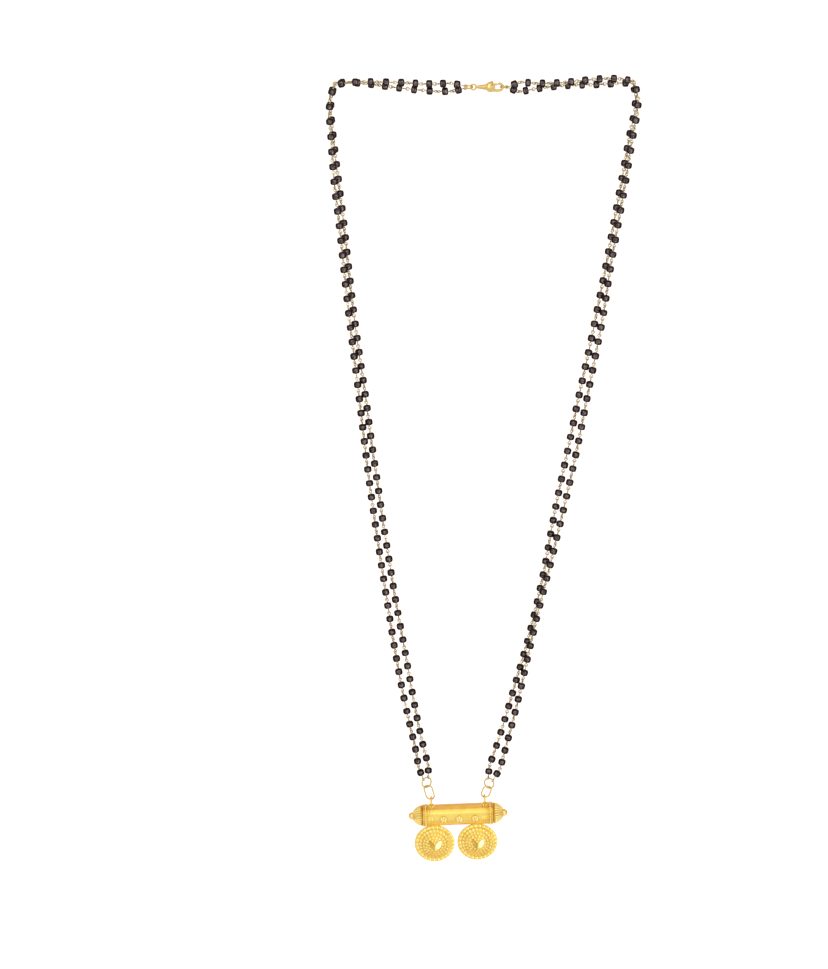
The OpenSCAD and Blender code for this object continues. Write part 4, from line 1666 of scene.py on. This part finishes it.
class SharedGroups:
    """Node groups that more than one material places with its own values."""

    def __init__(self) -> None:
        """Builds both groups."""
        self.shade_and_wear = self.build_shade_and_wear()
        self.skin = self.build_skin()

    def polish(
        self, n: Nodes, shader: bpy.types.Node, wave_size: float, strength: float, depth: float
    ) -> None:
        """Bumps a shader's surface with the heights of a polished skin.

        Args:
            n: Nodes of the material.
            shader: Its Principled BSDF.
            wave_size: Scale of the soft unevenness.
            strength: Strength of the bump.
            depth: Distance of the bump in metres.
        """
        skin = n.add("ShaderNodeGroup", node_tree=self.skin)
        skin.inputs["Wave Size"].default_value = wave_size
        bump = n.add("ShaderNodeBump")
        bump.inputs["Strength"].default_value = strength
        bump.inputs["Distance"].default_value = depth
        n.feed(bump.inputs["Height"], skin.outputs["Height"])
        n.feed(shader.inputs["Normal"], bump.outputs["Normal"])

    def build_shade_and_wear(self) -> bpy.types.NodeTree:
        """Group that turns relief and noise into a gold's colour and roughness: recesses get a deep
        colour as painted shade and are dull, crests get a pale colour as a painted highlight and are
        smoother, as if rubbed bright, with faint patches of another tone.

        Returns:
            The group's tree.
        """
        tree = new_group(
            "relief_shade_and_wear",
            {
                "Relief": 0.5,
                "Deep": (0.5, 0.3, 0.1, 1.0),
                "Body": (0.9, 0.6, 0.2, 1.0),
                "Crest": (1.0, 0.8, 0.4, 1.0),
                "Patch Size": 400.0,
                "Smooth": 0.15,
                "Dull": 0.4,
            },
            {"Color": "NodeSocketColor", "Roughness": "NodeSocketFloat"},
        )
        n = Nodes(tree)
        ins = n.add("NodeGroupInput").outputs
        place = n.add("ShaderNodeTexCoord").outputs["Object"]
        patch = n.noise(place, ins["Patch Size"], 4.0)
        level = n.maths("ADD", ins["Relief"], n.scaled(patch, 0.5, -0.25))
        low = n.spread(level, 0.05, 0.5, 0.0, 1.0)
        high = n.spread(level, 0.55, 1.05, 0.0, 1.0)
        # Painted shade towards the deep colour in recesses, painted highlight towards the crest
        # colour on crests
        colour = n.blend(high, n.blend(low, ins["Deep"], ins["Body"]), ins["Crest"])
        span = n.maths("SUBTRACT", ins["Dull"], ins["Smooth"])
        dullness = n.maths("MULTIPLY", span, n.maths("SUBTRACT", 1.0, low))
        rough = n.maths("ADD", ins["Smooth"], dullness)
        out = n.add("NodeGroupOutput").inputs
        n.feed(out["Color"], colour)
        n.feed(out["Roughness"], n.maths("ADD", rough, n.spread(patch, 0.3, 0.7, -0.04, 0.06)))
        return tree

    def build_skin(self) -> bpy.types.NodeTree:
        """Group that gives the height of polishing scratches and of a soft unevenness,
        as stretched fine noise and as broad noise.

        Returns:
            The group's tree.
        """
        tree = new_group(
            "polished_skin",
            {"Scratch Size": 3000.0, "Wave Size": 300.0, "Scratch": 0.3},
            {"Height": "NodeSocketFloat"},
        )
        n = Nodes(tree)
        ins = n.add("NodeGroupInput").outputs
        place = n.add("ShaderNodeTexCoord").outputs["Object"]
        stretch = n.add("ShaderNodeMapping")
        stretch.inputs["Scale"].default_value = (0.25, 1.0, 1.0)
        n.feed(stretch.inputs["Vector"], place)
        scratches = n.noise(stretch.outputs[0], ins["Scratch Size"], 3.0)
        fine = n.maths("MULTIPLY", scratches, ins["Scratch"])
        height = n.maths("ADD", fine, n.noise(place, ins["Wave Size"], 3.0))
        n.feed(n.add("NodeGroupOutput").inputs["Height"], height)
        return tree


def new_material(name: str) -> tuple[bpy.types.Material, Nodes, bpy.types.Node]:
    """Makes a material.

    Args:
        name: Name of the material.

    Returns:
        The material, its nodes and its Principled BSDF.
    """
    made = bpy.data.materials.new(name)
    made.use_nodes = True
    return made, Nodes(made.node_tree), made.node_tree.nodes["Principled BSDF"]


@dataclass(frozen=True)
class GoldFinish:
    """A gold-plated finish: its deep colour painted as shade in recesses, its colour on plain metal
    and its pale colour painted as a highlight on crests.
    """

    name: str
    deep: Colour
    body: Colour
    crest: Colour
    smooth: float
    dull: float
    patch_size: float
    bump: float
    bump_depth: float = 0.00005
    wave_size: float = 300.0
    reads_relief: bool = True
    even_relief: float = 0.62
    coat: float = 0.0

    def material(self, groups: SharedGroups) -> bpy.types.Material:
        """Builds the material.

        Args:
            groups: The shared node groups.

        Returns:
            The material.
        """
        made, n, shader = new_material(self.name)
        shader.inputs["Metallic"].default_value = 1.0
        shader.inputs["Coat Weight"].default_value = self.coat
        shader.inputs["Coat Roughness"].default_value = self.smooth
        relief = self.even_relief
        if self.reads_relief:
            relief = n.add("ShaderNodeAttribute", attribute_name="relief").outputs["Fac"]
        shade_and_wear = n.add("ShaderNodeGroup", node_tree=groups.shade_and_wear)
        for label, value in (
            ("Relief", relief),
            ("Deep", self.deep),
            ("Body", self.body),
            ("Crest", self.crest),
            ("Patch Size", self.patch_size),
            ("Smooth", self.smooth),
            ("Dull", self.dull),
        ):
            n.feed(shade_and_wear.inputs[label], value)
        n.feed(shader.inputs["Base Color"], shade_and_wear.outputs["Color"])
        n.feed(shader.inputs["Roughness"], shade_and_wear.outputs["Roughness"])
        groups.polish(n, shader, self.wave_size, self.bump, self.bump_depth)
        return made


@dataclass(frozen=True)
class GlassFinish:
    """Opaque black glass with a plum cast that differs from bead to bead, whose shine
    fades towards its outline."""

    name: str
    dark: Colour
    plum: Colour
    shine: Colour
    smooth: float
    dull: float
    ior: float = 1.85
    glint_size: float = 1500.0
    swirl_size: float = 900.0
    smudge_size: float = 2500.0
    bump: float = 1.0
    bump_depth: float = 0.00012
    wave_size: float = 900.0

    def material(self, groups: SharedGroups) -> bpy.types.Material:
        """Builds the material.

        Args:
            groups: The shared node groups.

        Returns:
            The material.
        """
        made, n, shader = new_material(self.name)
        shader.inputs["IOR"].default_value = self.ior
        shader.inputs["Specular Tint"].default_value = self.shine
        facing = n.add("ShaderNodeLayerWeight").outputs["Facing"]
        place = n.add("ShaderNodeTexCoord").outputs["Object"]
        glint = n.spread(n.noise(place, self.glint_size, 1.0), 0.44, 0.56, 0.3, 1.0)
        shine = n.maths("MULTIPLY", n.spread(facing, 0.07, 0.24, 1.0, 0.04), glint)
        tone = n.add("ShaderNodeAttribute", attribute_name="tone").outputs["Fac"]
        swirl = n.spread(n.noise(place, self.swirl_size, 3.0), 0.35, 0.65, -0.1, 0.4)
        colour = n.blend(n.scaled(tone, 0.6, swirl), self.dark, self.plum)
        smudge = n.noise(place, self.smudge_size, 2.0)
        rough = n.spread(smudge, 0.3, 0.7, self.smooth, self.dull)
        n.feed(shader.inputs["Specular IOR Level"], shine)
        n.feed(shader.inputs["Base Color"], colour)
        n.feed(shader.inputs["Roughness"], rough)
        groups.polish(n, shader, self.wave_size, self.bump, self.bump_depth)
        return made


# In the gold finishes, deep is painted shade for recesses and crest is a painted highlight for
# crests
FINISHES = {
    Slot.BLACK_GLASS: GlassFinish(
        "black_glass",
        dark=(0.002, 0.0015, 0.002, 1),
        plum=(0.012, 0.006, 0.008, 1),
        shine=(1, 0.82, 0.82, 1),
        smooth=0.08,
        dull=0.2,
    ),
    Slot.PIN_GOLD: GoldFinish(
        "drawn_gold_wire",
        deep=(0.22, 0.18, 0.12, 1),
        body=(0.64, 0.6, 0.42, 1),
        crest=(0.78, 0.75, 0.58, 1),
        smooth=0.22,
        dull=0.36,
        patch_size=700.0,
        bump=0.25,
    ),
    Slot.RING_GOLD: GoldFinish(
        "polished_gold_plate",
        deep=(0.32, 0.21, 0.05, 1),
        body=(0.66, 0.51, 0.16, 1),
        crest=(0.8, 0.68, 0.32, 1),
        smooth=0.16,
        dull=0.3,
        patch_size=600.0,
        bump=0.2,
    ),
    Slot.CLASP_GOLD: GoldFinish(
        "cast_gold_plate",
        deep=(0.3, 0.19, 0.06, 1),
        body=(0.7, 0.51, 0.17, 1),
        crest=(0.86, 0.72, 0.36, 1),
        smooth=0.16,
        dull=0.32,
        patch_size=500.0,
        bump=0.25,
        reads_relief=False,
    ),
    Slot.PENDANT_GOLD: GoldFinish(
        "rich_yellow_gold",
        deep=(0.55, 0.35, 0.04, 1),
        body=(0.96, 0.66, 0.12, 1),
        crest=(1.0, 0.92, 0.4, 1),
        smooth=0.2,
        dull=0.36,
        patch_size=380.0,
        bump=0.3,
        coat=0.5,
    ),
}


@dataclass
class Studio:
    """Pale floor, bright room, a soft box and the camera at the photograph's angle."""

    elevation: float = 20.0
    distance: float = 1.25
    aim: tuple[float, float, float] = (-0.02565, 0.0, -0.15432)
    focal_pixels: float = 3290.0
    long_side_pixels: float = 969.0
    sensor: float = 36.0
    floor_z: float = -0.42
    floor_size: float = 8.0
    walls: Levels = (
        (0.0, 0.97, 0), (0.38, 0.97, 0), (0.47, 0.75, 0.3), (0.7, 0.75, 0.3), (0.8, 0.76, 0.28),
        (1.0, 0.76, 0.28),
    )
    ends: Levels = ((0.0, 0.95, 0.15), (0.5, 0.8, 0), (1.0, 0.86, 0.26))
    ends_share: Levels = ((0.08, 1, 0), (0.25, 0, 0), (0.8, 0, 0), (0.95, 1, 0))
    card_across: Levels = ((0.07, 0, 0), (0.09, 1, 0), (0.18, 1, 0), (0.2, 0, 0))
    card_up: Levels = ((0.16, 0, 0), (0.2, 1, 0), (0.5, 1, 0), (0.54, 0, 0))
    card_level: float = 2.2

    def camera(self) -> None:
        """Camera on a line that rises from the aim point towards the front. Its lens is
        the sensor times the focal length in pixels over the long side in pixels."""
        data = bpy.data.cameras.new("photo_camera")
        data.sensor_width = self.sensor
        data.lens = self.sensor * self.focal_pixels / self.long_side_pixels
        data.clip_start, data.clip_end = 0.05, 50.0
        camera = new_object("photo_camera", data)
        tilt = math.radians(self.elevation)
        back = Vector((0.0, -math.cos(tilt), math.sin(tilt)))
        camera.location = Vector(self.aim) + back * self.distance
        camera.rotation_euler = (-back).to_track_quat("-Z", "Y").to_euler()
        bpy.context.scene.camera = camera

    def floor(self) -> None:
        """Plain pale floor far below the hanging necklace."""
        half = self.floor_size / 2
        corners = [(-half, -half), (half, -half), (half, half), (-half, half)]
        mesh = bpy.data.meshes.new("floor")
        mesh.from_pydata([(x, y, self.floor_z) for x, y in corners], [], [(0, 1, 2, 3)])
        made, n, shader = new_material("pale_floor")
        for label, value in (
            ("Base Color", (0.9, 0.9, 0.9, 1)),
            ("Roughness", 1.0),
            ("Emission Color", (1, 1, 1, 1)),
            ("Emission Strength", 0.55),
        ):
            n.feed(shader.inputs[label], value)
        mesh.materials.append(made)
        floor = new_object("floor", mesh)
        floor.visible_glossy = False

    def softbox(
        self, name: str, place: tuple[float, float, float], size: tuple[float, float], watts: float
    ) -> None:
        """Large area light that faces the middle of the necklace.

        Args:
            name: Name of the light.
            place: Its place in metres.
            size: Its width and height.
            watts: Its power.
        """
        data = bpy.data.lights.new(name, "AREA")
        data.shape = "RECTANGLE"
        data.size, data.size_y = size
        data.energy = watts
        light = new_object(name, data)
        light.location = place
        way = Vector(place) - Vector(self.aim)
        light.rotation_euler = way.to_track_quat("Z", "Y").to_euler()

    def ramp(
        self, n: Nodes, value: bpy.types.NodeSocket, levels: Levels
    ) -> bpy.types.NodeSocket:
        """Adds a ramp of greys, each with some warmth that takes a share off its green
        and one and a half times as much off its blue.

        Args:
            n: Nodes of the world.
            value: Value that is looked up.
            levels: Positions, greys and warmths, of which there are two or more.

        Returns:
            The colour.
        """
        node = n.add("ShaderNodeValToRGB")
        stops = node.color_ramp.elements
        while len(stops) < len(levels):
            stops.new(0.5)
        for stop, (position, _, _) in zip(stops, levels):
            stop.position = position
        for stop, (_, grey, warmth) in zip(stops, levels):
            stop.color = (grey, grey * (1 - warmth), grey * (1 - 1.5 * warmth), 1)
        n.feed(node.inputs["Fac"], value)
        return node.outputs["Color"]

    def surround(self) -> None:
        """White for the camera, and for light a room that is white in front, warm and a
        little darker at the sides and behind, and bright overhead and below, with a
        white card low on the right.

        The way round from the front is the arc tangent of X over -Y, and the height is
        half of Z plus one half.
        """
        world = bpy.data.worlds.new("studio_room")
        bpy.context.scene.world = world
        world.use_nodes = True
        n = Nodes(world.node_tree)
        out = world.node_tree.nodes["World Output"]
        room = world.node_tree.nodes["Background"]
        white = n.add("ShaderNodeBackground")
        white.inputs["Color"].default_value = (1, 1, 1, 1)
        parts = n.add("ShaderNodeSeparateXYZ")
        n.feed(parts.inputs[0], n.add("ShaderNodeTexCoord").outputs["Generated"])
        ahead = n.maths("MULTIPLY", parts.outputs["Y"], -1.0)
        around = n.maths("ARCTAN2", parts.outputs["X"], ahead)
        half_turn = n.maths("MULTIPLY", n.maths("ABSOLUTE", around), 1 / math.pi)
        level = self.ramp(n, half_turn, self.walls)
        height = n.scaled(parts.outputs["Z"], 0.5, 0.5)
        ends = self.ramp(n, height, self.ends)
        share = self.ramp(n, height, self.ends_share)
        beside = self.ramp(n, n.maths("MULTIPLY", around, 1 / math.pi), self.card_across)
        upright = self.ramp(n, height, self.card_up)
        card = n.maths("MULTIPLY", beside, upright)
        bright = (self.card_level, self.card_level, self.card_level, 1)
        n.feed(room.inputs["Color"], n.blend(card, n.blend(share, level, ends), bright))
        path = n.add("ShaderNodeLightPath")
        mix = n.add("ShaderNodeMixShader")
        n.feed(mix.inputs["Fac"], path.outputs["Is Camera Ray"])
        n.feed(mix.inputs[1], room.outputs[0])
        n.feed(mix.inputs[2], white.outputs[0])
        n.feed(out.inputs["Surface"], mix.outputs[0])

    def build(self) -> None:
        """Sets up camera, floor, room and lights."""
        self.camera()
        self.floor()
        self.surround()
        self.softbox("key_box", place=(-0.01, -0.64, 0.7), size=(1.1, 1.0), watts=1.6)
        bpy.context.scene.view_settings.view_transform = "Standard"


@dataclass
class Necklace:
    """The whole necklace, made of its sub-assemblies."""

    materials: dict[Slot, bpy.types.Material]
    beads: Beads = field(default_factory=Beads)
    pins: EyePins = field(default_factory=EyePins)
    findings: Findings = field(default_factory=Findings)
    pendant: Pendant = field(default_factory=Pendant)

    def __post_init__(self) -> None:
        """Works out the two routes and the places of their rings."""
        left = Route(LEFT_RUN, LEFT_LEG, Hand.LEFT)
        right = Route(RIGHT_RUN, RIGHT_LEG, Hand.RIGHT)
        self.tail = left.end_ring(TAIL_RING_D, at_clasp=True)
        self.catch = right.end_ring(CATCH_RING_D, at_clasp=True)
        self.left = left.end_ring(UPPER_RING_D, at_clasp=False)
        self.right = right.end_ring(UPPER_RING_D, at_clasp=False)
        self.strands = [
            Strand("left_outer", left, Side.OUTER, self.tail, self.left, 11),
            Strand("left_inner", left, Side.INNER, self.tail, self.left, 12),
            Strand("right_outer", right, Side.OUTER, self.catch, self.right, 13),
            Strand("right_inner", right, Side.INNER, self.catch, self.right, 14),
        ]

    def add(self, name: str, shape: Shape, body: Body, slot: Slot, node: str) -> None:
        """Adds one piece with its slot's material."""
        make_piece(name, shape, self.materials[slot], body, slot, node)

    def build_strands(self) -> None:
        """Beads and eye pins of the four strands."""
        for strand in self.strands:
            for part, shape, slot, node in (
                ("glass", self.beads.string(strand), Slot.BLACK_GLASS, "beads"),
                ("pins", self.pins.chain(strand), Slot.PIN_GOLD, "wire"),
            ):
                name = f"{strand.name}_{part}"
                self.add(name, shape, Body.NECKLACE, slot, f"{strand.name}_{node}")

    def link_top(self, place: RingFrame) -> Values:
        """Where an oval link's wire hangs in its upper ring."""
        reach = (UPPER_RING_D - RING_WIRE) / 2 - RING_WIRE - HANG_GAP
        return place.middle + place.out * reach

    def build_findings(self) -> None:
        """Jump rings and oval links."""
        for node, place, size, cut_at in (
            ("tail_ring", self.tail, TAIL_RING_D, 100),
            ("catch_ring", self.catch, CATCH_RING_D, 90),
            ("left_upper_ring", self.left, UPPER_RING_D, 75),
            ("right_upper_ring", self.right, UPPER_RING_D, -80),
        ):
            shape = self.findings.ring(place, size, cut_at)
            self.add(f"{node}_wire", shape, Body.NECKLACE, Slot.RING_GOLD, node)
        for node, place, hand, turn in (
            ("left_link", self.left, Hand.LEFT, 18),
            ("right_link", self.right, Hand.RIGHT, -14),
        ):
            shape = self.findings.link(self.link_top(place), self.pendant.hinge(hand), turn)
            self.add(f"{node}_wire", shape, Body.NECKLACE, Slot.RING_GOLD, node)

    def build_pendant(self) -> None:
        """Tube, collars, bails, vatis and caps."""
        made = self.pendant
        for name, shape, node in (
            ("pendant_tube", made.tube(), "pendant_body"),
            ("pendant_collars", made.collars(), "pendant_body"),
            ("pendant_bails", made.bails(), "pendant_body"),
            ("left_vati", made.vati(Hand.LEFT), "pendant_body"),
            ("right_vati", made.vati(Hand.RIGHT), "pendant_body"),
            ("left_ribbed_cap", made.cap(Hand.LEFT), "left_cap"),
            ("right_ribbed_cap", made.cap(Hand.RIGHT), "right_cap"),
        ):
            self.add(name, shape, Body.PENDANT, Slot.PENDANT_GOLD, node)

    def build_clasp(self, lever: bpy.types.Object) -> None:
        """Cast body of the clasp, and the gold of its lever, which stays the CAD's.

        Args:
            lever: The CAD's lever.
        """
        body = Clasp(self.tail, self.catch).body()
        self.add("clasp_casting", body, Body.NECKLACE, Slot.CLASP_GOLD, "clasp_body")
        lever.data.materials.clear()
        lever.data.materials.append(self.materials[Slot.CLASP_GOLD])
        LOG.info("clasp_lever: dressed")


def main() -> None:
    """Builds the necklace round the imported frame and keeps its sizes."""
    logging.basicConfig(level=logging.INFO, format="%(name)s: %(message)s")
    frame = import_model()
    groups = SharedGroups()
    materials = {slot: finish.material(groups) for slot, finish in FINISHES.items()}
    necklace = Necklace(materials)
    necklace.build_strands()
    necklace.build_findings()
    necklace.build_pendant()
    necklace.build_clasp(frame["nodes"]["clasp_lever"])
    Studio().build()


if __name__ == "__main__":
    main()
